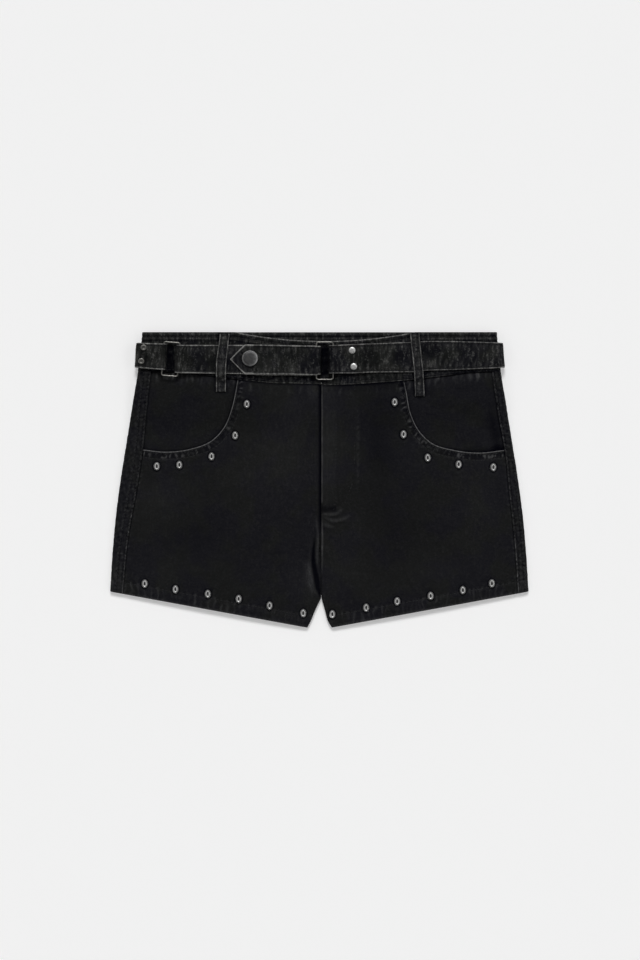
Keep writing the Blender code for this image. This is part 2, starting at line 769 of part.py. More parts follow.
def main():
    for existing in list(bpy.data.objects):
        bpy.data.objects.remove(existing)
    shorts = bpy.data.collections.new("studded_shorts")
    bpy.context.scene.collection.children.link(shorts)
    leather = make_material("leather", (0.022, 0.022, 0.025), 0.62, 0.0)
    band_leather = make_material("band_leather", (0.030, 0.030, 0.032), 0.66, 0.0)
    steel = make_material("steel", (0.56, 0.56, 0.56), 0.28, 1.0)
    dark_steel = make_material("dark_steel", (0.20, 0.20, 0.21), 0.38, 1.0)
    for side in (-1, 1):
        back_panel(side, shorts, leather)
        pocket_facing(side, shorts, leather)
        front_panel(side, shorts, leather)
    waistband(shorts, band_leather)
    belt(shorts, band_leather)
    strap(shorts, band_leather)
    for row in FRONT_LOOPS:
        front_loop(*row, shorts, band_leather)
    for row in BACK_LOOPS:
        back_loop(*row, shorts, band_leather)
    for row in BUCKLES:
        buckle(*row, shorts, steel)
    on_belt = LAYER_HIGH + BELT_CLOTH / 2 + SEAM_GAP
    snap = turned_mesh("snap_profile", SNAP_PROFILE)
    turned("snap_cap", snap, *SNAP_CENTRE, on_belt, (1.0, 1.0, 1.0), 24, shorts, dark_steel)
    rivet = turned_mesh("rivet_profile", RIVET_PROFILE)
    for name, across, up, scale in RIVETS:
        turned(name, rivet, across, up, on_belt, (scale, scale, 1.0), 14, shorts, steel)
    stud = turned_mesh("stud_profile", STUD_PROFILE)
    for name, centres in STUD_ROWS:
        for number, (across, up) in enumerate(centres, start=1):
            base = seat_height(across, up, STUD_PROFILE[-2][0]) + SEAM_GAP
            turned(f"{name}_{number}", stud, across, up, base, (STUD_OVAL, 1.0, 1.0), 10, shorts, steel)


main()
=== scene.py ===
"""The looks of the studded faux leather shorts: cloth shells, stitching, trim, floor, light and camera.

Sizes are in millimetres until a mesh is made. Across is X, up is Y and height is Z, as in the frame.
"""

import math

import bpy
import numpy as np
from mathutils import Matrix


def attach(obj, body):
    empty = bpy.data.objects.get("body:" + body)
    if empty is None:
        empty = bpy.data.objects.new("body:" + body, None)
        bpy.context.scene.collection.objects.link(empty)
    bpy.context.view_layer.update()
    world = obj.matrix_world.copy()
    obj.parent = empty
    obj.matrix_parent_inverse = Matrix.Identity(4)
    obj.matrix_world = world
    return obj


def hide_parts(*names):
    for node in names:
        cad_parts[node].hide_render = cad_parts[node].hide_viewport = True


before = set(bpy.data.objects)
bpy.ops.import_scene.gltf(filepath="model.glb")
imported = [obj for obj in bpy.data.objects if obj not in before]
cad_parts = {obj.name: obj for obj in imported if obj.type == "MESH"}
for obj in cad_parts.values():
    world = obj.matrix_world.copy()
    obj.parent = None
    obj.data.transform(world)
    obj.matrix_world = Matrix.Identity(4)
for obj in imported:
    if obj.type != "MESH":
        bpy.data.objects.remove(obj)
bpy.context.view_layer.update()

MM = 0.001

# ---------------------------------------------------------------- sizes shared with the frame
CLOTH = 1.2
HEM_CLOTH = 1.8
BAND_CLOTH = 2.2
BELT_CLOTH = 1.6
LOOP_CLOTH = 1.6
BACK_LOOP_CLOTH = 1.2
SEAM_GAP = 0.3

BACK_BELT_BASE = BACK_LOOP_CLOTH + SEAM_GAP
BAND_BASE = BACK_BELT_BASE + BELT_CLOTH + SEAM_GAP
BAND_TOP = 9.0
FRONT_BELT_BASE = BAND_TOP + SEAM_GAP
WAIST_LIFT = 4.3
LIFT_FROM = 45.0
LIFT_TO = 104.0
LOFT = 4.4
CROWN = 1.4

WAIST_UP = 153.6
HEM_OUTER = (217.8, -116.30)
HEM_INNER = (12.5, -153.90)
CENTRE_ACROSS = 2.0
CROTCH_UP = -122.9
HEM_DEPTH = 12.0
HEM_LEAN = 0.984  # the cosine of the hem's slope
BAND_LOW_SIDE = 112.7
BAND_LOW_DROP = 12.5
BAND_DROP_CENTRE = 6.0
BAND_DROP_REACH = 190.0
BAND_SAG = (  # across, further down
    (-150.0, 0.0), (-120.0, 0.8), (-85.0, 1.8), (-45.0, 2.0), (-28.0, 0.9), (-4.0, 0.4), (6.0, 1.6),
    (50.0, 1.5), (64.0, 1.5), (78.0, 1.9), (95.0, 1.9), (133.0, 1.3), (155.0, 0.0),
)
FLY_STEP = 0.5
FRONT_DIP = 9.3
FRONT_DIP_CENTRE = 5.9
FRONT_DIP_REACH = 93.6

# What the grids take for the panels' sizes when they space their points
FRONT_LENGTH = 228.0
BACK_LENGTH = 240.0
BACK_WIDTH = 210.0
FACING_LENGTH = 96.0
FACING_WIDTH = 112.0
FACING_UNDERLAP = 14.0
SIDES = {-1: "left", 1: "right"}

SIDE_EDGE = (  # up, half_width
    (-116.0, 217.8), (-83.0, 215.8), (-42.0, 212.3), (0.0, 206.9), (41.0, 200.4),
    (83.0, 193.6), (113.0, 188.6), (142.0, 185.3), (153.6, 184.4),
)
SIDE_SEAM = (  # up, width_left, width_right
    (-118.0, 13.6, 11.3), (-60.0, 15.3, 11.4), (-15.0, 18.3, 11.3),
    (32.0, 18.3, 9.2), (70.0, 15.9, 10.0), (113.0, 13.6, 9.3),
)
ALLOWANCE_HALF = 5.2
ALLOWANCE_LIFT = 2.2
ALLOWANCE_CLOTH = 0.7
ALLOWANCE_TOP = 102.0
LEG_NOTCH = (  # up, from_centre_left, from_centre_right
    (-153.5, 14.2, 10.7), (-148.0, 11.3, 7.3), (-137.0, 6.7, 4.0), (-129.5, 3.3, 1.9), (-122.9, 0.0, 0.0),
)
SCOOP_LEFT = (  # across, up
    (-85.0, 106.0), (-86.6, 95.0), (-91.0, 75.0), (-98.6, 55.8),
    (-113.0, 40.3), (-134.0, 32.2), (-160.0, 29.2), (-183.6, 31.5),
)
SCOOP_RIGHT = (  # across, up
    (88.0, 105.2), (90.6, 91.0), (95.0, 69.0), (103.6, 51.3),
    (117.5, 38.0), (140.0, 31.0), (165.7, 28.2), (192.5, 31.0),
)
BELT_EDGES = (  # across, lower, upper
    (-192.0, 116.2, 142.2), (-160.0, 114.2, 141.4), (-147.0, 110.8, 140.1), (-79.0, 109.8, 140.2),
    (-36.0, 109.9, 139.4), (-18.0, 109.4, 139.0), (-3.0, 108.9, 138.8), (12.0, 110.4, 139.8),
    (36.0, 110.5, 141.0), (53.0, 111.4, 141.6), (74.0, 111.7, 142.4), (97.0, 111.7, 143.4),
    (112.0, 113.5, 144.3), (140.0, 114.1, 144.2), (192.0, 116.3, 142.6),
)
BELT_BACK_EDGES = ((116.7, 192.1), (142.4, 190.4))  # up, half_width
BELT_MORE_RIGHT = (1.0, 0.6)  # how much further out the belt's lower and upper edge turn at the right
BELT_CORNER = 1.7
BELT_FLAT_REACH = 185.0
BELT_UNDER_LEFT = -186.0
BELT_UNDER_RIGHT = 47.5
STRAP_UNDER_RIGHT = -127.0
EASE_FROM_BAR = 10.0
EASE_OFF_UNDER = 10.0
LEFT_SLACK = 0.7
CENTRE_SLACK = 2.2
TAB_OVERHANG = 0.5
TAB_TIP = (-92.4, 125.2)
TAB_SHOULDER_ACROSS = -77.5

WIRE_RADIUS = 0.9
WEAR_AND_HIGHLIGHT_MOST = 1.7
WIRE_LOOK_RADIUS = 0.76
WIRE_SIDES = 14
WIRE_STEP = 1.5
WIRE_WAVE = 0.12
BUCKLES = (  # name, across, up, width, length, turn in degrees, corner radius
    ("buckle_left", -154.3, 125.4, 18.2, 36.7, -4.5, 1.8),
    ("buckle_centre", 5.6, 123.6, 19.2, 40.6, 0.0, 2.4),
)
UNDER_LAYER_SHOWS = 1.3  # how far the strap's under layer comes out below the belt
UNDER_LAYER_REACH = (-68.0, -10.0)
BAR_RADIUS = WIRE_RADIUS + SEAM_GAP + BELT_CLOTH / 2
LAYER_LOW = FRONT_BELT_BASE + BELT_CLOTH / 2
LAYER_HIGH = LAYER_LOW + BELT_CLOTH + SEAM_GAP
BAR_HEIGHT = LAYER_LOW + BAR_RADIUS
LAYER_BAR = BAR_HEIGHT + BAR_RADIUS
LAYER_BACK = BACK_BELT_BASE + BELT_CLOTH / 2

LOOP_WIDTH = 10.8
LOOP_RISE = 5.5
LOOP_ROUND = 1.5
LOOP_SAG = 0.2
LOOP_FOOT = 4.5
BACK_LOOP_RISE = 3.5
BACK_LOOP_ROUND = 0.5
BACK_LOOP_SAG = 0.6
FRONT_LOOPS = (  # name, across_top, up_top, across_low, up_low
    ("loop_front_left", -98.4, 151.8, -102.0, 91.4),
    ("loop_front_right", 99.2, 152.3, 105.2, 86.8),
)
FRONT_LOOP_EDGES = {  # up, left edge, right edge: both front loops lean and bend a little
    "loop_front_left": (
        (92.4, -107.3, -97.2), (111.2, -107.5, -97.1), (124.9, -107.1, -96.3), (140.0, -104.7, -94.6),
        (149.4, -103.6, -93.4)),
    "loop_front_right": (
        (91.1, 99.4, 109.4), (112.6, 98.4, 108.0), (134.2, 95.9, 105.7), (149.4, 94.4, 104.0)),
}
BACK_LOOPS = (("loop_back_left", -96.0), ("loop_back_centre", 2.0), ("loop_back_right", 100.0))
BACK_LOOP_UP = (101.0, 151.5)

SNAP_CENTRE = (-72.1, 126.2)
RIVETS = (  # name, across, up, scale
    ("rivet_left_upper", -182.4, 137.4, 0.82),
    ("rivet_left_lower", -184.9, 123.2, 0.82),
    ("rivet_right_upper", 34.0, 134.5, 1.0),
    ("rivet_right_lower", 35.7, 117.7, 1.0),
)
STUD_ROWS = {
    "stud_pocket_left": ((-75.4, 78.6), (-87.6, 46.0), (-112.1, 24.2), (-145.6, 15.4), (-169.1, 14.0)),
    "stud_pocket_right": ((78.3, 80.7), (87.5, 47.2), (112.7, 22.9), (144.9, 15.9), (181.0, 13.0)),
    "stud_hem_left": ((-16.8, -138.8), (-51.8, -130.9), (-83.9, -123.9), (-116.0, -118.7),
                      (-149.7, -113.9), (-181.6, -108.1)),
    "stud_hem_right": ((13.5, -139.9), (48.7, -133.1), (80.9, -126.4), (115.7, -120.8),
                       (149.2, -114.8), (179.4, -107.8)),
}
STUDS = [centre for row in STUD_ROWS.values() for centre in row]

# ---------------------------------------------------------------- creases, placed one by one
# The left leg tucks under beside the crotch seam: the lip of the fold, and how deep it is.
TUCK = (  # up, across, depth
    (-124.0, 1.0, 0.0), (-118.5, -1.8, 0.9), (-112.0, -4.6, 1.3), (-104.0, -6.0, 1.6), (-90.0, -8.2, 1.6),
    (-74.0, -7.8, 1.1), (-60.0, -5.6, 0.5), (-48.0, -3.4, 0.0),
)
TUCK_WIDTH = (  # up, width of its shadow
    (-124.0, 1.4), (-118.0, 4.0), (-112.0, 6.2), (-104.0, 7.0), (-90.0, 5.8), (-74.0, 3.8), (-48.0, 1.6),
)
CREASES_LEFT = (  # height, width, then points (across, up)
    (0.60, 1.6, ((-3.6, -38.0), (-1.8, -52.0), (-1.6, -64.0), (-2.4, -76.0), (-1.6, -92.0))),
    (0.35, 4.5, ((-12.0, -84.0), (-10.5, -96.0), (-8.5, -110.0), (-6.0, -120.0))),
    (0.30, 5.0, ((-4.5, 18.0), (-5.5, -10.0), (-4.5, -34.0))),
    (-0.30, 7.0, ((-30.0, -36.0), (-24.0, -62.0), (-22.0, -92.0))),
    (0.30, 8.0, ((-52.0, -20.0), (-40.0, -58.0), (-34.0, -96.0))),
    (-0.25, 9.0, ((-128.0, -12.0), (-120.0, -44.0), (-124.0, -82.0))),
    (0.25, 10.0, ((-160.0, 0.0), (-150.0, -34.0), (-152.0, -70.0))),
    (-0.22, 8.0, ((-70.0, 60.0), (-58.0, 36.0), (-50.0, 4.0))),
    (0.22, 6.0, ((-30.0, 90.0), (-34.0, 60.0), (-30.0, 26.0))),
)
CREASES_RIGHT = (  # height, width, then points (across, up)
    (0.75, 1.5, ((1.6, -35.6), (9.0, -36.2), (17.6, -35.4), (25.0, -29.6))),
    (0.70, 1.6, ((1.6, -37.8), (8.0, -40.4), (14.0, -42.8), (22.0, -41.8), (33.0, -37.0))),
    (0.55, 1.6, ((1.6, -45.8), (8.0, -47.8), (16.0, -49.6))),
    (-0.40, 1.2, ((1.8, -39.8), (7.0, -42.4), (12.0, -45.0))),
    (0.55, 1.5, ((2.0, -49.0), (3.0, -60.0), (2.4, -72.0), (1.6, -80.0))),
    (0.30, 3.0, ((7.0, -60.0), (8.0, -80.0), (6.0, -100.0))),
    (-0.40, 7.0, ((58.0, -44.0), (59.0, -64.0), (54.0, -88.0))),
    (0.28, 8.0, ((36.0, -48.0), (40.0, -70.0), (38.0, -100.0))),
    (0.28, 8.0, ((78.0, -30.0), (84.0, -58.0), (82.0, -86.0))),
    (-0.25, 9.0, ((132.0, -8.0), (126.0, -40.0), (130.0, -80.0))),
    (0.22, 9.0, ((60.0, 70.0), (66.0, 36.0), (72.0, 0.0))),
    (-0.22, 8.0, ((46.0, 92.0), (52.0, 60.0), (50.0, 24.0))),
)
WASHED = (  # strength, across, up, reach across, reach up; darker where the strength is negative
    (0.030, -38.0, 28.0, 30.0, 44.0), (0.022, -22.0, 78.0, 26.0, 18.0), (0.020, -78.0, 4.0, 20.0, 18.0),
    (0.016, -170.0, -96.0, 30.0, 16.0), (0.020, -20.0, -108.0, 18.0, 22.0),
    (-0.25, -128.0, -60.0, 38.0, 26.0), (-0.35, 62.0, 34.0, 20.0, 60.0), (0.022, 9.0, 40.0, 9.0, 62.0),
    (-0.25, 88.0, -52.0, 34.0, 40.0), (0.020, 24.0, -98.0, 26.0, 22.0), (0.018, 120.0, -96.0, 40.0, 16.0),
    (0.018, 166.0, -20.0, 20.0, 40.0), (0.012, 30.0, -62.0, 20.0, 18.0),
    (0.030, -168.0, -18.0, 24.0, 22.0), (-0.25, -176.0, 2.0, 10.0, 12.0), (0.070, -6.0, 91.0, 3.5, 8.0),
)
BELT_WASHED = (  # strength, across, up, reach across, reach up; darker where the strength is negative
    (-0.45, 48.5, 133.0, 9.0, 6.0), (-0.50, 82.0, 128.0, 6.0, 11.0), (0.045, 71.0, 126.0, 5.0, 9.0),
    (0.030, -183.0, 128.0, 12.0, 9.0), (-0.40, -117.0, 132.0, 10.0, 8.0), (0.030, -134.0, 135.0, 10.0, 6.0),
    (-0.35, 115.0, 136.0, 13.0, 6.0), (0.060, 118.0, 122.0, 16.0, 5.0), (0.030, 165.0, 131.0, 14.0, 9.0),
)
SCOOP_ROWS = (2.3, 7.8)  # stitch rows: how far in from the edge
STRIP_ROWS = (1.8, 7.6)
BAND_ROWS = {"high": 5.0, "low": 2.4}
BELT_ROW = 2.3
LOOP_ROW = 2.2
FLY_BLOCK = (17.3, -25.6)  # inner stitch row: across, lowest
J_ACROSS = 36.9
J_BEND_UP = 2.0
J_END = (3.0, -34.0)


# ---------------------------------------------------------------- curves and soft noise
def column(table, index):
    return np.array([row[index] for row in table], float)


def upto(value, most):
    """Values held between 0 and the most."""
    return np.clip(value, 0.0, most)


def smoothstep(value, start, end):
    t = upto((value - start) / (end - start), 1.0)
    return t * t * (3.0 - 2.0 * t)


def fall(value, start, end):
    """From 1 at the start to 0 at the end."""
    return 1.0 - smoothstep(value, start, end)


def through(places, values, at):
    """Values at places on a smooth curve through a table's rows."""
    places, values = np.asarray(places, float), np.asarray(values, float)
    at = np.clip(np.asarray(at, float), places[0], places[-1])
    slopes = np.gradient(values, places)
    i = np.clip(np.searchsorted(places, at, side="right") - 1, 0, len(places) - 2)
    width = places[i + 1] - places[i]
    t = (at - places[i]) / width
    return (
        (2 * t**3 - 3 * t**2 + 1) * values[i]
        + (t**3 - 2 * t**2 + t) * width * slopes[i]
        + (3 * t**2 - 2 * t**3) * values[i + 1]
        + (t**3 - t**2) * width * slopes[i + 1]
    )


def steps(path):
    """The length of each step of a path."""
    return np.linalg.norm(np.diff(path, axis=0), axis=1)


def lengths_along(path):
    """How far along a path each of its points is."""
    return np.concatenate([[0.0], np.cumsum(steps(path))])


def along(points, shares):
    """Points at shares of the length of a smooth curve through the points."""
    points = np.array(points, float)
    lengths = lengths_along(points)
    places = np.asarray(shares) * lengths[-1]
    return np.stack([through(lengths, points[:, k], places) for k in range(points.shape[1])], axis=-1)


def ripple(place, period, seed, terms=6):
    """Uneven ripples along a line, between about -1 and 1."""
    rng = np.random.default_rng(seed)
    total = np.zeros_like(np.asarray(place, float))
    for _ in range(terms):
        wave = period * rng.uniform(0.62, 1.7)
        total += np.sin(2 * math.pi * (place / wave + rng.uniform()))
    return total / math.sqrt(terms * 0.9)


def clouds(x, y, period, seed, terms=9):
    """Soft uneven patches over a plane, between about -1 and 1."""
    rng = np.random.default_rng(seed)
    total = np.zeros_like(np.asarray(x, float) + np.asarray(y, float))
    for _ in range(terms):
        angle = rng.uniform(0, 2 * math.pi)
        wave = period * rng.uniform(0.6, 1.8)
        total += np.sin(2 * math.pi * ((x * math.cos(angle) + y * math.sin(angle)) / wave + rng.uniform()))
    return total / math.sqrt(terms * 0.9)


def bump(distance, at, width):
    return np.exp(-(((distance - at) / width) ** 2))


def window(distance, start, end, soft=1.2):
    return smoothstep(distance, start - soft, start + soft) * fall(distance, end - soft, end + soft)


def to_line(x, y, points):
    """Distance from points of the plane to a smooth curve, and how far along it the nearest point is."""
    line = along(points, np.linspace(0.0, 1.0, 8 * len(points)))
    best = np.full(np.shape(x), 1e9)
    place = np.zeros(np.shape(x))
    start = 0.0
    for a, b in zip(line[:-1], line[1:]):
        step = b - a
        length = float(np.hypot(*step))
        t = upto(((x - a[0]) * step[0] + (y - a[1]) * step[1]) / length**2, 1.0)
        far = np.hypot(x - a[0] - t * step[0], y - a[1] - t * step[1])
        nearer = far < best
        best = np.where(nearer, far, best)
        place = np.where(nearer, start + t * length, place)
        start += length
    return best, place, start


def crease(x, y, height, width, points):
    """A soft ridge, or a trough if its height is negative, along a curve, which fades at its ends."""
    far, place, length = to_line(x, y, points)
    fade = np.sin(math.pi * upto(place / length, 1.0)) ** 0.7
    return height * fade * bump(far, 0.0, width)


# ---------------------------------------------------------------- the form of the garment
def half_width(up):
    return through(column(SIDE_EDGE, 0), column(SIDE_EDGE, 1), up)


def seam_across(side, up):
    strip = through(column(SIDE_SEAM, 0), column(SIDE_SEAM, 1 if side < 0 else 2), up)
    return side * (half_width(up) - strip)


def band_low(across):
    turn = np.minimum(1.0, np.abs(across - BAND_DROP_CENTRE) / BAND_DROP_REACH)
    sag = np.interp(across, column(BAND_SAG, 0), column(BAND_SAG, 1))
    return BAND_LOW_SIDE - BAND_LOW_DROP * (0.5 + 0.5 * np.cos(math.pi * turn)) - sag


def band_top(across):
    turn = (across - FRONT_DIP_CENTRE) / FRONT_DIP_REACH
    return WAIST_UP - FRONT_DIP * np.maximum(0.0, 1.0 - turn * turn)


def hem_up(across):
    share = (np.abs(across) - HEM_INNER[0]) / (HEM_OUTER[0] - HEM_INNER[0])
    return HEM_INNER[1] + share * (HEM_OUTER[1] - HEM_INNER[1])


def inner_across(side, up):
    spread = through(column(LEG_NOTCH, 0), column(LEG_NOTCH, 1 if side < 0 else 2), up)
    spread = np.where(np.asarray(up) < CROTCH_UP, spread, 0.0)
    return CENTRE_ACROSS + side * (SEAM_GAP / 2 + spread)


def back_height(up):
    return WAIST_LIFT * smoothstep(up, LIFT_FROM, LIFT_TO)


def front_height(across, up):
    share = np.minimum(1.0, np.abs(across - CENTRE_ACROSS) / half_width(up))
    leg = smoothstep(-up, -20.0, 125.0)
    two_crowns = np.sin(math.pi * (1.0 - share))
    one_crown = np.sin(math.pi / 2 * (1.0 - share))
    easing = fall(up, 60.0, 104.0)
    return back_height(up) + LOFT + CROWN * easing * (leg * two_crowns + (1.0 - leg) * one_crown)


def belt_edges(across):
    places = column(BELT_EDGES, 0)
    return [np.interp(across, places, column(BELT_EDGES, k)) for k in (1, 2)]


# ---------------------------------------------------------------- meshes
FINE_EDGE = (0.0, 0.14, 0.4, 0.8, 1.4)


def fine_shares(length, step):
    """Shares of a length in even steps, closer together near both ends."""
    inner = np.arange(FINE_EDGE[-1], length - FINE_EDGE[-1], step)[1:]
    return np.concatenate([FINE_EDGE, inner, length - np.array(FINE_EDGE[::-1])]) / length


def rounding(distance, radius):
    """How full a folded edge is at a distance from it, from 0.1 at the edge to 1."""
    t = upto(distance / radius, 1.0)
    return 0.1 + 0.9 * np.sqrt(1.0 - (1.0 - t) ** 2)


def grid_normals(points):
    along_columns = np.gradient(points, axis=1)
    along_rows = np.gradient(points, axis=0)
    normals = np.cross(along_columns, along_rows)
    return normals / np.maximum(1e-9, np.linalg.norm(normals, axis=2, keepdims=True))


def grid_faces(rows, columns, start, flip):
    index = start + np.arange(rows * columns).reshape(rows, columns)
    quads = np.stack([index[:-1, :-1], index[:-1, 1:], index[1:, 1:], index[1:, :-1]], axis=-1).reshape(-1, 4)
    return quads[:, ::-1] if flip else quads


def rim_faces(rows, columns):
    index = np.arange(rows * columns).reshape(rows, columns)
    loop = np.concatenate([index[0, :-1], index[:-1, -1], index[-1, :0:-1], index[:0:-1, 0]])
    after = np.roll(loop, -1)
    inner = rows * columns
    return np.stack([after, loop, loop + inner, after + inner], axis=-1)


def tube_faces(rings, sides, closed=False):
    """Faces round a tube from ring to ring, and back to the first ring if it is closed."""
    faces = []
    for r in range(rings if closed else rings - 1):
        start, after = r * sides, (r + 1) % rings * sides
        for c in range(sides):
            d = (c + 1) % sides
            faces.append((start + c, start + d, after + d, after + c))
    return np.array(faces)


def make_piece(name, points, faces, material, attributes=None):
    """A mesh object from points in millimetres, with values at its points, on the one body."""
    mesh = bpy.data.meshes.new(name)
    mesh.vertices.add(len(points))
    mesh.vertices.foreach_set("co", (np.asarray(points, np.float32) * MM).ravel())
    faces = np.asarray(faces, np.int32)
    mesh.loops.add(faces.size)
    mesh.loops.foreach_set("vertex_index", faces.ravel())
    mesh.polygons.add(len(faces))
    mesh.polygons.foreach_set("loop_start", np.arange(0, faces.size, faces.shape[1], dtype=np.int32))
    mesh.polygons.foreach_set("use_smooth", np.ones(len(faces), bool))
    mesh.update(calc_edges=True)
    for key, values in (attributes or {}).items():
        layer = mesh.attributes.new(key, "FLOAT", "POINT")
        layer.data.foreach_set("value", np.asarray(values, np.float32).ravel())
    mesh.validate()
    piece = bpy.data.objects.new(name, mesh)
    bpy.context.scene.collection.objects.link(piece)
    mesh.materials.append(material)
    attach(piece, "root")
    return piece


def shell(name, centre, half, relief, material, attributes, flip=False):
    """A closed cloth shell round a grid of points: half its thickness each way, and relief outside."""
    rows, columns, _ = centre.shape
    normals = grid_normals(centre) * (-1.0 if flip else 1.0)
    outer = centre + normals * (half + relief)[..., None]
    inner = centre - normals * half[..., None]
    points = np.concatenate([outer.reshape(-1, 3), inner.reshape(-1, 3)])
    faces = np.concatenate([
        grid_faces(rows, columns, 0, flip),
        grid_faces(rows, columns, rows * columns, not flip),
        rim_faces(rows, columns)[:, :: (-1 if flip else 1)],
    ])
    doubled = {key: np.concatenate([v.ravel(), v.ravel()]) for key, v in attributes.items()}
    piece = make_piece(name, points, faces, material, doubled)
    return piece, outer, normals


# ---------------------------------------------------------------- thread
STITCH = 2.9
STITCH_GAP = 0.7
THREAD_RADIUS = 0.24
THREAD_SIDES = 6
thread_parts = {}


def sew(group, path, normals, lift=0.05, skip=0.0):
    """Stitches along a path of points, added to a group that becomes one piece."""
    path, normals = np.asarray(path, float), np.asarray(normals, float)
    lengths = lengths_along(path)
    count = int((lengths[-1] - 2 * skip) / (STITCH + STITCH_GAP))
    if count < 1:
        return
    shares = np.array([0.0, 0.12, 0.5, 0.88, 1.0])
    sizes = np.array([0.45, 0.95, 1.0, 0.95, 0.45])
    lifts = np.array([-0.28, 0.02, 0.16, 0.02, -0.28])
    starts = skip + (lengths[-1] - 2 * skip) / count * np.arange(count)
    places = starts[:, None] + shares * STITCH
    at = np.stack([np.interp(places, lengths, path[:, k]) for k in range(3)], axis=-1)
    up = np.stack([np.interp(places, lengths, normals[:, k]) for k in range(3)], axis=-1)
    up /= np.linalg.norm(up, axis=-1, keepdims=True)
    tangent = at[:, -1:] - at[:, :1]
    tangent = tangent / np.maximum(1e-9, np.linalg.norm(tangent, axis=-1, keepdims=True))
    sideways = np.cross(tangent, up)
    at = at + up * (lift + lifts[:, None])
    angles = 2 * math.pi * np.arange(THREAD_SIDES) / THREAD_SIDES
    ring = (
        sideways[:, :, None] * np.cos(angles)[:, None] + up[:, :, None] * (np.sin(angles) * 0.8)[:, None]
    ) * (THREAD_RADIUS * sizes)[:, None, None]
    points = (at[:, :, None] + ring).reshape(-1, 3)
    base = np.arange(count)[:, None] * len(shares) * THREAD_SIDES
    faces = list(tube_faces(len(shares), THREAD_SIDES))
    for start, turn in ((0, -1), ((len(shares) - 1) * THREAD_SIDES, 1)):
        cap = [start + k for k in range(THREAD_SIDES)][::turn]
        faces += [cap[:4], (cap[0], *cap[3:])]
    faces = (base[..., None] + np.array(faces)).reshape(-1, 4)
    thread_parts.setdefault(group, []).append((points, faces))


def finish_thread(material):
    for group, parts in thread_parts.items():
        points, faces, start = [], [], 0
        for part_points, part_faces in parts:
            points.append(part_points)
            faces.append(part_faces + start)
            start += len(part_points)
        piece = make_piece(f"thread_{group}", np.concatenate(points), np.concatenate(faces), material)


def contour(outer, normals, field, level, by_columns=True, reverse=False):
    """Where a field over a grid crosses a level, once in each column, or else once in each row."""
    if not by_columns:
        outer, normals, field = (np.swapaxes(a, 0, 1) for a in (outer, normals, field))
    if reverse:
        outer, normals, field = outer[::-1], normals[::-1], field[::-1]
    path, ups = [], []
    for c in range(field.shape[1]):
        line = field[:, c] - level
        crossing = np.nonzero((line[:-1] <= 0) & (line[1:] > 0))[0]
        if len(crossing) == 0:
            continue
        r = crossing[0]
        t = -line[r] / (line[r + 1] - line[r])
        path.append(outer[r, c] * (1 - t) + outer[r + 1, c] * t)
        ups.append(normals[r, c])
    return np.array(path), np.array(ups)


# ---------------------------------------------------------------- materials
class Nodes:
    """The nodes of a material or of the world, each made and joined in one step."""

    def __init__(self, owner, last="Principled BSDF"):
        owner.use_nodes = True
        self.tree = owner.node_tree
        self.last = self.tree.nodes[last]

    def join(self, value, socket):
        """Sets a socket to a number or colour, or joins an output to it."""
        if isinstance(value, bpy.types.NodeSocket):
            self.tree.links.new(value, socket)
        elif isinstance(value, tuple) and len(value) < len(socket.default_value):
            socket.default_value = (*value, 1.0)
        else:
            socket.default_value = value

    def give(self, **values):
        """What goes into the last node, with _ for the spaces in the sockets' names."""
        for key, value in values.items():
            self.join(value, self.last.inputs[key.replace("_", " ")])

    def add(self, kind, output, inputs=None, **settings):
        node = self.tree.nodes.new(f"ShaderNode{kind}")
        for key, value in settings.items():
            setattr(node, key, value)
        for key, value in (inputs or {}).items():
            self.join(value, node.inputs[key])
        return node.outputs[output]

    def noise(self, place, scale, detail=3.0, roughness=0.55):
        inputs = {"Vector": place, "Scale": scale, "Detail": detail, "Roughness": roughness}
        return self.add("TexNoise", "Fac", inputs)

    def ramp(self, value, low, high, to_low=0.0, to_high=1.0):
        inputs = {"Value": value, "From Min": low, "From Max": high, "To Min": to_low, "To Max": to_high}
        return self.add("MapRange", "Result", inputs, interpolation_type="SMOOTHSTEP")

    def maths(self, operation, *values):
        return self.add("Math", 0, dict(enumerate(values)), operation=operation)

    def times(self, first, second):
        return self.maths("MULTIPLY", first, second)

    def mix(self, factor, first, second):
        """A colour between two, by the colour sockets' places on the node."""
        return self.add("Mix", 2, {0: factor, 6: first, 7: second}, data_type="RGBA")

    def bump(self, height, strength, distance):
        return self.add("Bump", "Normal", {"Height": height, "Strength": strength, "Distance": distance})


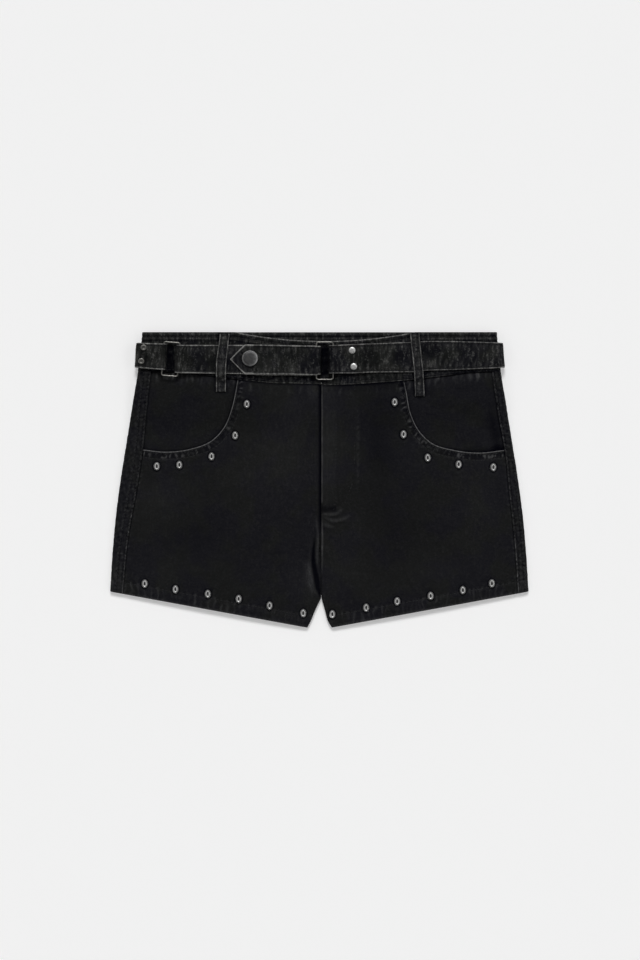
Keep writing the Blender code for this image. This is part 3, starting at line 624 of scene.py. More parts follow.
def leather(name, cool, neutral, flecked, worn, flecks, spread, streaked, gloss, bump_depth):
    """Washed faux leather: near-black in cool and neutral patches, fine grain, grey where rubbed and where
    highlights are painted, and near-black with less gloss where shade is painted.
    """
    material = bpy.data.materials.new(name)
    m = Nodes(material)
    place = m.add("TexCoord", "Object")
    rub_and_highlight_fac, shade = (m.add("Attribute", "Fac", attribute_name=key) for key in ("worn", "shade"))
    stretched = m.add("Mapping", "Vector", {"Vector": place, "Scale": (1.0, 0.24, 1.0)})
    patches, streaks = m.noise(place, 26.0, 3.0, 0.6), m.noise(stretched, 430.0, 3.0, 0.6)
    mottle, grain = m.noise(place, 460.0, 4.0, 0.7), m.noise(place, 1100.0, 3.0, 0.6)
    cells = m.add("TexVoronoi", "Distance", {"Vector": place, "Scale": 760.0}, feature="DISTANCE_TO_EDGE")
    base = m.mix(m.ramp(patches, 0.42, 0.58), cool, neutral)
    lines = m.ramp(streaks, 0.54 - 0.8 * spread, 0.54 + 0.8 * spread, 1.0 - streaked, 1.0)
    spots = m.times(m.ramp(mottle, 0.54 - spread, 0.54 + spread), lines)
    base = m.mix(m.times(spots, flecks), base, flecked)
    rubbed_and_highlit = m.times(rub_and_highlight_fac, m.ramp(streaks, 0.40, 0.60, 1.0 - 0.6 * streaked, 1.15))
    rubbed_and_highlit = m.times(rubbed_and_highlit, m.ramp(grain, 0.34, 0.62, 0.6, 1.1))
    # Painted highlights lighten the colour as wear does; painted shade mixes it towards a bluish near-black
    # and, below, cuts the gloss.
    base = m.mix(shade, m.mix(rubbed_and_highlit, base, worn), (0.0008, 0.0009, 0.0030))
    relief = m.times(m.ramp(cells, 0.0, 0.22), 0.4)
    for part, depth in ((mottle, 1.6), (streaks, 2.2 * streaked), (grain, 0.4)):
        relief = m.maths("ADD", relief, m.times(part, depth))
    m.give(Base_Color=base, Roughness=m.ramp(mottle, 0.3, 0.7, 0.46, 0.62),
           Specular_IOR_Level=m.ramp(shade, 0.0, 1.0, gloss, gloss * 0.15),
           Normal=m.bump(relief, 0.9, bump_depth))
    return material


def metal(name, colour, dark, roughness, scratch=0.00004):
    """Cast metal in two blotched tones, mixed towards near-black by painted shade in the studs' dishes, at
    the pieces' lips and over the snap's face.
    """
    material = bpy.data.materials.new(name)
    m = Nodes(material)
    place = m.add("TexCoord", "Object")
    painted_metal_shade = m.add("Attribute", "Fac", attribute_name="shade")
    fine = m.noise(place, 2600.0, 2.0)
    tone = m.mix(m.ramp(m.noise(place, 420.0), 0.35, 0.7), colour, dark)
    m.give(Base_Color=m.mix(painted_metal_shade, tone, (0.012, 0.012, 0.013)), Metallic=1.0,
           Roughness=m.ramp(fine, 0.3, 0.7, roughness * 0.8, roughness * 1.25),
           Normal=m.bump(fine, 0.5, scratch))
    return material


def thread_material():
    """Black thread with a fibre in it."""
    material = bpy.data.materials.new("thread")
    m = Nodes(material)
    fibres = m.noise(m.add("TexCoord", "Object"), 1800.0, 2.0)
    tone = m.mix(m.ramp(fibres, 0.35, 0.65), (0.008, 0.008, 0.009), (0.026, 0.026, 0.027))
    m.give(Base_Color=tone, Roughness=0.7, Specular_IOR_Level=0.3, Normal=m.bump(fibres, 0.5, 0.0001))
    return material


BODY = leather(
    "washed_leather", cool=(0.0017, 0.0017, 0.0046), neutral=(0.0032, 0.0036, 0.0035),
    flecked=(0.0220, 0.0220, 0.0230), worn=(0.170, 0.170, 0.172), flecks=0.42, spread=0.12, streaked=0.45,
    gloss=0.145, bump_depth=0.00030)
BAND = leather(
    "rubbed_leather", cool=(0.0010, 0.0012, 0.0042), neutral=(0.0048, 0.0056, 0.0048),
    flecked=(0.1040, 0.1053, 0.1013), worn=(0.360, 0.357, 0.345), flecks=0.58, spread=0.06, streaked=0.95,
    gloss=0.135, bump_depth=0.00070)
THREAD = thread_material()
NICKEL = metal("nickel", (0.84, 0.84, 0.83), (0.68, 0.68, 0.67), 0.44)
WIRE = metal("wire_nickel", (0.27, 0.26, 0.245), (0.17, 0.17, 0.16), 0.40)
GUNMETAL = metal("gunmetal", (0.640, 0.640, 0.644), (0.400, 0.400, 0.406), 0.38, 0.00012)


# ---------------------------------------------------------------- front panels and facings
SCOOPS = {-1: SCOOP_LEFT, 1: SCOOP_RIGHT}


def thickness_at(from_hem):
    """How thick the cloth is, which is more over the turned-up hem."""
    return HEM_CLOTH + (CLOTH - HEM_CLOTH) * smoothstep(from_hem, HEM_DEPTH, HEM_DEPTH + 1.5)


def panel_fields(side, x, y):
    """Distances in millimetres from the edges of a front panel."""
    slope = math.atan2(HEM_OUTER[1] - HEM_INNER[1], HEM_OUTER[0] - HEM_INNER[0])
    scoop, scoop_place, _ = to_line(x, y, SCOOPS[side])
    return {
        "hem": (y - hem_up(x)) * math.cos(slope),
        "side": np.abs(seam_across(side, y)) - side * x,
        "centre": side * (x - inner_across(side, y)),
        "scoop": scoop,
        "scoop_place": scoop_place,
        "waist": band_low(x) - SEAM_GAP - y,
    }


def stud_dents(x, y):
    """How the studs press the cloth in, and a ring of painted shade round each."""
    dent, ring = np.zeros(np.shape(x)), np.zeros(np.shape(x))
    for across, up in STUDS:
        far = np.hypot((x - across) / 0.88, (y - up) / 1.06)
        dent -= 0.42 * np.exp(-((far / 5.8) ** 2))
        dent += 0.10 * bump(far, 8.8, 1.8)
        ring += 0.90 * fall(far, 4.3, 6.2)
    return dent, ring


def pucker(place, x, y, period, seed):
    """Uneven short ripples that wander and fade."""
    wander = 0.22 * period * clouds(x, y, 2.2 * period, seed + 500)
    strength = 0.65 + 0.45 * clouds(x, y, 3.1 * period, seed + 600)
    return ripple(place + wander, period, seed) * np.clip(strength, 0.1, 1.3)


def washed(patches, x, y):
    """How much lighter, and how much darker, the cloth is in its soft patches."""
    light, dark = np.zeros(np.shape(x)), np.zeros(np.shape(x))
    for strength, across, up, reach_across, reach_up in patches:
        patch = abs(strength) * np.exp(-(((x - across) / reach_across) ** 2) - ((y - up) / reach_up) ** 2)
        if strength > 0:
            light += patch
        else:
            dark += patch
    return light, dark


def loop_edges(name, up):
    """Where the left and the right edge of a front loop are, at the given places up."""
    rows = np.array(FRONT_LOOP_EDGES[name])
    return np.interp(up, rows[:, 0], rows[:, 1]), np.interp(up, rows[:, 0], rows[:, 2])


def beside_loops(x, y):
    """How close points are to the sides of the front loops, from 0 to 1 where they touch: the mask of the
    loops' painted shadow beside them.
    """
    total = np.zeros(np.shape(x))
    for name, _, _, _, up_low in FRONT_LOOPS:
        left, right = loop_edges(name, y)
        far = np.maximum(left - x, x - right)
        total += fall(far, 0.4, 4.2) * smoothstep(y, up_low - 3.0, up_low + 3.0)
    return total


def front_look(side, x, y):
    """The relief, the wear with painted highlights, and the painted shade and darker patches of a front
    panel.
    """
    f = panel_fields(side, x, y)
    hem, seam, centre, scoop, waist = (f[key] for key in ("hem", "side", "centre", "scoop", "waist"))
    seed = 40 if side < 0 else 70
    clear = smoothstep(np.minimum.reduce([hem, seam, scoop, waist]), 0.0, 16.0)
    relief = 0.18 * clear * clouds(1.5 * x, 0.6 * y, 52.0, seed) + 0.03 * clear * clouds(x, y, 15.0, seed + 1)
    relief += 0.05 * clouds(x, 0.45 * y, 5.0, seed + 10)
    for height, width, points in (CREASES_LEFT if side < 0 else CREASES_RIGHT):
        relief += crease(x, y, height, width, points)
    dents, rings = stud_dents(x, y)
    relief += dents
    # The hem: a stitched trough, and puckers across the turned-up band.
    hem_ripple = pucker(x, x, y, 4.6, seed + 2)
    relief -= 0.30 * bump(hem, HEM_DEPTH, 0.9)
    relief += 0.06 * hem_ripple * window(hem, 1.2, 12.5, 1.6)
    relief += 0.05 * hem_ripple * window(hem, 12.5, 16.0, 2.0)
    # The pocket's edge: turned under and stitched twice.
    scoop_on = fall(scoop, 9.5, 13.0)
    scoop_ripple = pucker(f["scoop_place"], x, y, 4.2, seed + 4)
    for row in SCOOP_ROWS:
        relief -= 0.30 * bump(scoop, row, 0.7)
    relief += 0.20 * scoop_on * scoop_ripple * window(scoop, 0.8, 9.5)
    # The side seam pulls the cloth beside it.
    side_ripple = pucker(y, x, y, 4.6, seed + 5)
    relief += 0.10 * side_ripple * fall(seam, 1.0, 7.0)
    relief -= 0.25 * fall(seam, 0.6, 1.8)
    # Puckers below the waistband.
    waist_ripple = pucker(x, x, y, 6.5, seed + 6)
    relief += 0.14 * waist_ripple * fall(waist, 1.0, 11.0)
    centre_ripple = pucker(y, x, y, 6.0, seed + 7)
    relief += 0.07 * centre_ripple * fall(centre, 1.0, 6.0)
    below = smoothstep(-y, 112.0, 124.0)
    relief += 0.08 * below * pucker(y, x, y, 4.2, seed + 8) * fall(centre, 1.0, 8.0)
    light, dark = washed(WASHED, x, y)
    worn = light + 0.95 * fall(scoop, 0.35, 1.2) * (0.85 + 0.15 * scoop_ripple)
    # Rungs of painted highlight along the pocket's edge, with painted shade in the gaps between them.
    wander = 1.2 * clouds(x, y, 9.0, seed + 11)
    rungs = upto(ripple(f["scoop_place"] + wander, 4.0, seed + 4), 1.3)
    rungs = rungs * np.clip(0.8 + 0.6 * clouds(x, y, 13.0, seed + 12), 0.2, 1.3)
    worn += 0.34 * scoop_on * rungs * window(scoop, 2.0, 6.6, 0.8)
    worn += 0.07 * scoop_on * upto(scoop_ripple, 1.5) * window(scoop, 6.0, 9.5)
    worn += 0.09 * upto(hem_ripple, 1.5) * window(hem, 0.5, 13.0)
    worn += 0.18 * fall(hem, 0.2, 2.4)
    worn += 0.12 * bump(hem, HEM_DEPTH + 1.2, 0.7) * upto(0.3 + hem_ripple, 1.4)
    worn += 0.08 * upto(side_ripple, 1.5) * fall(seam, 1.5, 3.5)
    worn += 0.07 * upto(waist_ripple, 1.5) * window(waist, 2.6, 10.0, 2.0)
    # Painted shade: rings round the studs, beside the loops, below the waistband, in the side seam and along
    # the pocket's edge; the washed patches add darker tone.
    shade = rings + dark + 0.6 * beside_loops(x, y) + 0.6 * fall(waist, 0.6, 2.4)
    shade += 0.28 * smoothstep(x, 4.0, 30.0) * fall(waist, 3.0, 12.0)
    shade += 0.5 * fall(seam, 0.4, 1.6)
    shade += 0.45 * scoop_on * (1.0 - upto(2.0 * rungs, 1.0)) * window(scoop, 1.8, 7.0, 0.8)
    shade += 0.25 * window(scoop, 1.3, 3.6, 0.6)
    if side > 0:
        fly = smoothstep(y, -34.0, -30.0)
        step = 0.55 * smoothstep(-x, -30.0, -12.0) * smoothstep(y, -60.0, -32.0)
        relief += step
        relief += 0.14 * fly * window(x, 3.0, FLY_BLOCK[0], 2.0)
        relief -= 0.12 * smoothstep(y, FLY_BLOCK[1] - 1, FLY_BLOCK[1] + 1) * bump(x, FLY_BLOCK[0], 0.9)
        in_block = smoothstep(x, 1.0, 3.0) * fall(x, FLY_BLOCK[0], FLY_BLOCK[0] + 1.5)
        relief -= 0.25 * in_block * bump(y, FLY_BLOCK[1], 0.8)
        relief -= 0.25 * in_block * bump(y, J_END[1], 0.8)
        far, _, _ = to_line(x, y, fly_curve())
        blots = clouds(x, 0.6 * y, 3.4, seed + 14)
        relief -= 0.20 * bump(far, 0.0, 1.0)
        relief += (0.10 + 0.08 * blots) * window(y, -6.0, 72.0, 8.0) * bump(x, J_ACROSS + 3.3, 1.8)
        relief += 0.06 * bump(far, 1.6, 2.4) * pucker(y + x, x, y, 4.0, seed + 9)
        worn += 0.26 * smoothstep(y, -26.0, -22.0) * fall(centre, 0.8, 1.9)
        worn += 0.014 * fly * window(x, 3.0, FLY_BLOCK[0], 3.0)
        worn += 0.20 * window(-y, 40.0, 94.0, 8.0) * fall(centre, 0.8, 1.9)
        worn += 0.010 * smoothstep(y, -12.0, 4.0) * fall(x, J_ACROSS + 3.6, J_ACROSS + 6.0)
        # A painted highlight on the ridge beside the J.
        beside_j = bump(x, J_ACROSS + 3.3, 1.3)
        worn += 0.06 * window(y, -4.0, 70.0, 8.0) * beside_j * upto(0.7 + blots, 1.6)
        # Painted shade in the band between the fly block's two lowest stitch rows.
        shade += 0.6 * in_block * bump(y, -29.8, 4.4)
    else:
        past_lip = x - through(column(TUCK, 0), column(TUCK, 1), y)
        depth = through(column(TUCK, 0), column(TUCK, 2), y) * (y < TUCK[-1][0]) * (y > TUCK[0][0])
        relief -= depth * smoothstep(past_lip, -0.4, 1.3)
        # The ridge beside the fold's lip, with a painted highlight on it.
        relief += 0.26 * smoothstep(depth, 0.0, 1.2) * bump(past_lip, -2.4, 2.4)
        worn += 0.03 * smoothstep(depth, 0.2, 1.2) * bump(past_lip, -1.6, 1.4)
        # Painted shadow inside the tuck, and on the left front beside the fly's edge.
        width = through(column(TUCK_WIDTH, 0), column(TUCK_WIDTH, 1), y)
        in_tuck = smoothstep(past_lip, -1.4, 1.2) * fall(past_lip, width - 1.8, width + 0.6)
        shade += 0.85 * smoothstep(depth, 0.05, 1.0) * in_tuck
        shade += 0.95 * smoothstep(y, -62.0, -40.0) * fall(centre, 0.6, 4.6)
    # Painted highlights along the crests of the higher creases.
    for height, width, points in (CREASES_LEFT if side < 0 else CREASES_RIGHT):
        if height > 0.3:
            worn += 0.16 * crease(x, y, height, width * 0.8, points) / height
    return relief, upto(worn, 1.0), upto(shade, 1.0), f


def fly_curve():
    """The stitched J of the fly, from the waistband down and in to the centre seam."""
    return ((J_ACROSS, 99.0), (J_ACROSS, 60.0), (J_ACROSS - 0.4, 25.0), (J_ACROSS - 1.4, J_BEND_UP),
            (J_ACROSS - 6.5, -14.0), (J_ACROSS - 14.0, -25.0), (J_ACROSS - 24.0, -31.5), J_END)


def panel_grid(side, step):
    """Points of a front panel between the hem, the side seam, the centre seam, and the scoop and waist."""
    scoop = [np.array(point, float) for point in reversed(SCOOPS[side])]
    scoop[0] = np.array([float(seam_across(side, scoop[0][1])) - side * SEAM_GAP, scoop[0][1]])
    scoop[-1] = np.array([scoop[-1][0], float(band_low(scoop[-1][0])) - SEAM_GAP])
    scoop_length = steps(np.array(scoop)).sum()
    centre = float(inner_across(side, 0.0))
    waist_length = abs(centre - scoop[-1][0])
    split = scoop_length / (scoop_length + waist_length)
    places = fine_shares(scoop_length + waist_length, step)
    corner = np.argmin(np.abs(places - split))
    s = places.copy()
    s[: corner + 1] *= split / places[corner]
    s[corner:] = split + (places[corner:] - places[corner]) * (1 - split) / (1 - places[corner])
    t = fine_shares(FRONT_LENGTH, step)
    top = along(scoop, upto(s / split, 1.0))
    past = upto((s - split) / (1 - split), 1.0)
    waist_across = scoop[-1][0] + (centre - scoop[-1][0]) * past
    top = np.where((s > split)[:, None], np.stack([waist_across, band_low(waist_across) - SEAM_GAP], -1), top)
    foot_seam = float(seam_across(side, HEM_OUTER[1])) - side * SEAM_GAP
    foot_inner = float(inner_across(side, HEM_INNER[1]))
    low_across = foot_seam + (foot_inner - foot_seam) * s
    low = np.stack([low_across, hem_up(low_across)], -1)
    outer_up = low[0, 1] + (top[0, 1] - low[0, 1]) * t
    inner_up = low[-1, 1] + (top[-1, 1] - low[-1, 1]) * t
    outer = np.stack([seam_across(side, outer_up) - side * SEAM_GAP, outer_up], -1)
    inner = np.stack([inner_across(side, inner_up), inner_up], -1)
    t, s = t[:, None, None], s[None, :, None]
    plane = (1 - t) * low[None] + t * top[None]
    plane = plane + (1 - s) * (outer[:, None] - (1 - t) * low[0] - t * top[0])
    plane = plane + s * (inner[:, None] - (1 - t) * low[-1] - t * top[-1])
    return round_corner(side, plane)


def round_corner(side, plane, radius=4.2):
    """Rounds the hem's corner at the inner leg."""
    x, y = plane[..., 0], plane[..., 1]
    hem_slope = (HEM_OUTER[1] - HEM_INNER[1]) / (HEM_OUTER[0] - HEM_INNER[0]) * side
    corner = np.array([float(inner_across(side, HEM_INNER[1])), 0.0])
    corner[1] = float(hem_up(corner[0]))
    lean = (float(inner_across(side, -141.0)) - corner[0]) / (-141.0 - corner[1])
    v = (y - corner[1] - hem_slope * (x - corner[0])) / radius
    u = side * (x - corner[0] - lean * (y - corner[1])) / radius
    u, v = 1.0 - u, 1.0 - v
    near = (u > 0) & (v > 0) & (u <= 1.02) & (v <= 1.02)
    scale = np.where(near, np.maximum(u, v) / np.maximum(1e-6, np.hypot(u, v)), 1.0)
    new_u, new_v = 1.0 - u * scale, 1.0 - v * scale
    a, b = side * new_u * radius, new_v * radius
    new_y = (b + hem_slope * a) / (1.0 - hem_slope * lean)
    new_x = a + lean * new_y
    moved = np.stack([corner[0] + new_x, corner[1] + new_y], -1)
    return np.where(near[..., None], moved, plane)


def front_panel(side, step=1.25):
    plane = panel_grid(side, step)
    x, y = plane[..., 0], plane[..., 1]
    relief, worn, shade, f = front_look(side, x, y)
    edge = np.minimum.reduce([f["hem"], f["side"] - SEAM_GAP, f["centre"], f["scoop"], f["waist"]])
    full = thickness_at(f["hem"])
    half = full / 2 * rounding(np.maximum(edge, 0.0), 0.75)
    height = front_height(x, y) + relief - full / 2
    centre = np.stack([x, y, height], -1)
    word = SIDES[side]
    piece, outer, normals = shell(
        f"cloth_front_{word}", centre, half, np.zeros_like(half), BODY, {"worn": worn, "shade": shade},
        flip=side > 0)
    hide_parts(f"front_{word}")
    sew("fronts", *contour(outer, normals, f["hem"], HEM_DEPTH))
    scoop_columns = slice(0, int(np.argmax(plane[-1, :, 1])) + 1)
    for row in SCOOP_ROWS:
        beside = (part[:, scoop_columns] for part in (outer, normals, f["scoop"]))
        sew("fronts", *contour(*beside, row, reverse=True), skip=3.0)
    if side > 0:
        paths = [
            [(FLY_BLOCK[0], y_) for y_ in np.arange(99.0, FLY_BLOCK[1], -1.0)],
            [(x_, FLY_BLOCK[1]) for x_ in np.arange(FLY_BLOCK[0], 3.0, -0.5)],
            [(x_, J_END[1]) for x_ in np.arange(FLY_BLOCK[0], 3.0, -0.5)],
            along(fly_curve(), np.linspace(0, 0.93, 160)),
        ]
        for path in paths:
            sew_on_front(side, np.array(path), lift=-0.26)


def sew_on_front(side, path, lift):
    x, y = path[:, 0], path[:, 1]
    relief, _, _, _ = front_look(side, x, y)
    uneven = 0.16 * clouds(x, y, 8.0, 75)
    points = np.stack([x, y, front_height(x, y) + relief + uneven], -1)
    sew("fronts", points, np.tile((0.0, 0.0, 1.0), (len(points), 1)), lift)


def pocket_facing(side, step=2.0):
    scoop = SCOOPS[side]
    low = min(point[1] for point in scoop) - FACING_UNDERLAP
    inner = scoop[0][0] - side * FACING_UNDERLAP
    t = fine_shares(FACING_LENGTH, step)[:, None]
    s = fine_shares(FACING_WIDTH, step)[None, :]
    outer_up = low + (BAND_LOW_SIDE - SEAM_GAP - low) * t
    outer = seam_across(side, outer_up) - side * SEAM_GAP
    x = inner + (outer - inner) * s
    y = low + (band_low(x) - SEAM_GAP - low) * t
    far, _, _ = to_line(x, y, scoop)
    band = band_low(x) - y
    from_side = np.abs(seam_across(side, y)) - side * x
    inside = smoothstep(far, 2.0, 14.0)
    relief = 0.22 * inside * clouds(x, y, 34.0, 11 + side) + 0.07 * inside * clouds(x, y, 11.0, 14 + side)
    waist_ripple = pucker(x, x, y, 5.4, 20 + side)
    relief += 0.13 * waist_ripple * fall(band, 2.0, 12.0)
    relief += 0.10 * pucker(y, x, y, 5.0, 24 + side) * fall(from_side, 1.0, 6.0)
    relief = np.minimum(relief, 0.25)
    worn = 0.19 * upto(0.1 + waist_ripple, 1.5) * fall(band, 2.0, 14.0)
    # Painted shade under the pocket's edge and the waistband, beside the loops and the side seam, and near
    # the right side strip.
    shade = 0.55 * fall(far, 0.4, 2.4) + 0.5 * fall(band, 0.3, 1.8)
    shade += 0.75 * beside_loops(x, y)
    under_edge = 0.20 if side < 0 else 0.45 * smoothstep(x, 120.0, 165.0)
    shade += under_edge * fall(far, 1.5, 9.0)
    shade += 0.45 * fall(from_side, 0.4, 2.2)
    if side > 0:
        shade += 0.55 * bump(from_side, 7.0, 6.0) * smoothstep(-y, -86.0, -56.0)
    height = front_height(x, y) - CLOTH - SEAM_GAP - CLOTH / 2 + relief
    half = np.full(x.shape, CLOTH / 2)
    centre = np.stack([x, y, height], -1)
    word = SIDES[side]
    piece, _, _ = shell(f"cloth_facing_{word}", centre, half, np.zeros_like(half), BODY,
                        {"worn": worn, "shade": shade}, flip=side < 0)
    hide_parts(f"pocket_facing_{word}")


# ---------------------------------------------------------------- back panels
def back_panel(side, step=2.0):
    """Flat on the ground, round the side fold and on to the side seam on the front."""
    word = SIDES[side]
    top = BAND_LOW_SIDE + 0.1
    t = fine_shares(BACK_LENGTH, 1.6)
    outer_up = HEM_OUTER[1] + (top - HEM_OUTER[1]) * t
    inner_up = HEM_INNER[1] + (top - HEM_INNER[1]) * t
    edge = half_width(outer_up)
    inner = inner_across(side, inner_up)
    slope = (inner_up - outer_up) / (edge - np.abs(inner))
    fold = LOFT / 2
    bend = side * (edge - fold)
    run = fine_shares(BACK_WIDTH, step * 2.0)[:-len(FINE_EDGE)]
    turn = np.linspace(0.0, math.pi, 13)
    seam = seam_across(side, outer_up + slope * (edge - np.abs(seam_across(side, outer_up))))
    strip = np.concatenate([np.linspace(0.0, 0.9, 16)[1:], [0.94, 0.97, 0.99, 1.0]])

    def up_at(x):
        return outer_up[:, None] + slope[:, None] * (edge[:, None] - np.abs(x))

    flat_x = inner[:, None] + (bend - inner)[:, None] * run
    fold_x = bend[:, None] + side * fold * np.sin(turn)
    strip_x = bend[:, None] + (seam - bend)[:, None] * strip
    x = np.concatenate([flat_x, fold_x, strip_x], axis=1)
    y = up_at(x)
    base = back_height(outer_up)[:, None]
    z = np.concatenate([
        back_height(up_at(flat_x)),
        base + fold * (1.0 - np.cos(turn)),
        front_height(strip_x, up_at(strip_x)),
    ], axis=1)
    hem_distance = np.maximum((y - hem_up(x)) * HEM_LEAN, 0.0)
    full = thickness_at(hem_distance)
    surface = np.stack([x, y, z], -1)
    flip = side < 0
    normals = grid_normals(surface) * (1.0 if flip else -1.0)
    on_front = np.arange(x.shape[1]) >= flat_x.shape[1] + len(turn) // 2
    on_strip = np.broadcast_to(on_front, x.shape)
    from_seam = np.abs(np.abs(x) - np.abs(seam_across(side, y)))
    from_fold = np.abs(half_width(y)) - np.abs(x)
    puckers = pucker(y, x, y, 3.4, 90 + side)
    mixed = clouds(x, y, 4.4, 95 + side)
    relief = on_strip * (-0.34 * bump(from_seam, 1.8, 0.7) - 0.28 * bump(from_seam, 7.6, 0.8))
    relief += on_strip * 0.14 * puckers * window(from_seam, 0.6, 9.0)
    relief += on_strip * 0.12 * mixed
    relief += on_strip * 0.30 * bump(from_seam, 4.6, 2.4)
    relief -= 0.25 * bump(hem_distance, HEM_DEPTH, 0.8)
    near_centre = np.abs(x - inner_across(side, y))
    off_strip = 1.0 - on_strip
    relief -= 0.22 * off_strip * bump(near_centre, 2.2, 0.8)
    hem_puckers = np.minimum(pucker(x, x, y, 4.6, 88) - 1.0, 0.0)
    relief += 0.05 * off_strip * hem_puckers * window(hem_distance, 1.2, 12.5)
    relief = relief * smoothstep(from_fold + 2.0 * on_strip, 0.0, 2.5)
    dashes = upto(0.35 + 0.9 * pucker(y, x, y, 2.6, 97 + side), 1.5)
    low_down = 1.0 + 0.8 * smoothstep(-y, 10.0, 60.0)
    worn = on_strip * (0.08 * upto(puckers, 1.5) * window(from_seam, 0.4, 9.0)
                       + 0.05 * upto(mixed, 1.5)
                       + (0.27 if side < 0 else 0.36) * low_down * dashes * bump(from_seam, 0.7, 0.7)
                       + 0.17 * dashes * bump(from_seam, 8.6, 0.8)
                       + 0.045 * smoothstep(-y, 70.0, 105.0))
    worn += 0.10 * fall(hem_distance, 0.2, 1.4)
    worn += 0.05 * off_strip * dashes * (bump(hem_distance, HEM_DEPTH, 0.6) + bump(near_centre, 2.2, 0.6))
    worn += on_strip * 0.07 * upto(pucker(x, x, y, 3.4, 99), 1.5) * window(hem_distance, 1.0, 14.0)
    # Painted shade in the stitched grooves, in the puckers' troughs and under the waistband; the darker
    # mottling is tone.
    shade = on_strip * (0.55 * bump(from_seam, 2.0, 0.8) + 0.50 * bump(from_seam, 7.4, 0.9)
                        + 0.30 * upto(-puckers, 1.2) + 0.22 * upto(-mixed, 1.2))
    shade += on_strip * 0.25 * fall(BAND_LOW_SIDE - y, 1.0, 4.0)
    edge_distance = np.minimum(hem_distance, np.minimum(near_centre, BAND_LOW_SIDE - y))
    edge_distance = np.where(on_strip, np.minimum(hem_distance, from_seam), edge_distance)
    half = full / 2 * rounding(np.maximum(edge_distance, 0.0), 0.7)
    centre = surface - normals * (full / 2)[..., None]
    piece, outer, normals = shell(f"cloth_back_{word}", centre, half, relief, BODY,
                                  {"worn": upto(worn, 1), "shade": upto(shade, 1)}, flip=not flip)
    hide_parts(f"back_{word}")
    strip_start = int(np.argmax(on_front)) + 3
    outer, normals, from_seam, hem_distance = (
        part[:, strip_start:] for part in (outer, normals, from_seam, hem_distance))
    for row in STRIP_ROWS:
        sew("sides", *contour(outer, normals, -from_seam, -row, by_columns=False))
    sew("sides", *contour(outer, normals, hem_distance, HEM_DEPTH))


# ---------------------------------------------------------------- ribbons: waistband, belt, strap, loops
def ribbon(name, lower, upper, thickness, material, look, rows=1.4, flip=False, edge_radius=0.7,
           fine_ends=False):
    """A strip between a lower and an upper line of points. look gives its relief, its wear and painted
    highlights, and its painted shade and darker tone.
    """
    lower, upper = np.asarray(lower, float), np.asarray(upper, float)
    width = float(np.median(np.linalg.norm(upper - lower, axis=1)))
    v = fine_shares(width, rows)
    centre = lower[None] * (1 - v[:, None, None]) + upper[None] * v[:, None, None]
    widths = np.linalg.norm(upper - lower, axis=1)[None]
    place = lengths_along((lower + upper) / 2)[None]
    from_low, from_high = v[:, None] * widths, (1 - v[:, None]) * widths
    place = np.broadcast_to(place, from_low.shape)
    relief, worn, shade = look(centre, place, from_low, from_high)
    edge = np.minimum(from_low, from_high)
    if fine_ends:
        edge = np.minimum(edge, np.minimum(place, place.max() - place))
    half = thickness / 2 * rounding(edge, edge_radius)
    attributes = {"worn": upto(worn, WEAR_AND_HIGHLIGHT_MOST), "shade": upto(shade, 1)}
    piece, outer, normals = shell(name, centre, half, relief, material, attributes, flip=flip)
    fields = {"low": from_low, "high": from_high, "place": place}
    return piece, outer, normals, fields


def sew_edges(group, outer, normals, fields, inset, skip):
    """A row of stitches beside each long edge of a ribbon."""
    for level in ("low", "high"):
        sew(group, *contour(outer, normals, fields[level], inset, reverse=level == "high"), skip=skip)


def resample(path, step):
    """Points of a path in even short steps."""
    path = np.asarray(path, float)
    lengths = lengths_along(path)
    keep = np.concatenate([[True], np.diff(lengths) > 1e-6])
    path, lengths = path[keep], lengths[keep]
    count = max(2, int(round(lengths[-1] / step)) + 1)
    places = np.linspace(0.0, lengths[-1], count)
    return np.stack([through(lengths, path[:, k], places) for k in range(path.shape[1])], axis=-1)


def turn_round(across, height, radius, start, end, pieces=8, side=1):
    """Points on an arc round a centre, between two angles in degrees."""
    angles = np.radians(np.linspace(start, end, pieces + 1))
    return [(across + side * radius * math.cos(a), height + radius * math.sin(a)) for a in angles]


def run_to(start, end, pieces):
    """Points from a start, left out, to an end, on a line that eases from one height to the other."""
    t = np.arange(1, pieces + 1) / pieces
    ease = t * t * (3.0 - 2.0 * t)
    return list(zip(start[0] + (end[0] - start[0]) * t, start[1] + (end[1] - start[1]) * ease))


def side_turn(side, upper, lower, reach):
    """The belt's two rounded corners at a side of the shorts, from its upper layer to its lower one."""
    centre = side * (reach - BELT_CLOTH / 2 - BELT_CORNER)
    points = []
    for height, start in ((upper - BELT_CORNER, 90.0), (lower + BELT_CORNER, 0.0)):
        points += turn_round(centre, height, BELT_CORNER, start, start - 90.0, 3, side)
    return points


def leaned(across, up):
    """A place across that follows the left buckle's lean where it is near it."""
    _, centre_across, centre_up, *_, turn, _ = BUCKLES[0]
    near = fall(np.abs(across - centre_across), 12.0, 30.0)
    return across - near * (up - centre_up) * math.tan(math.radians(turn))


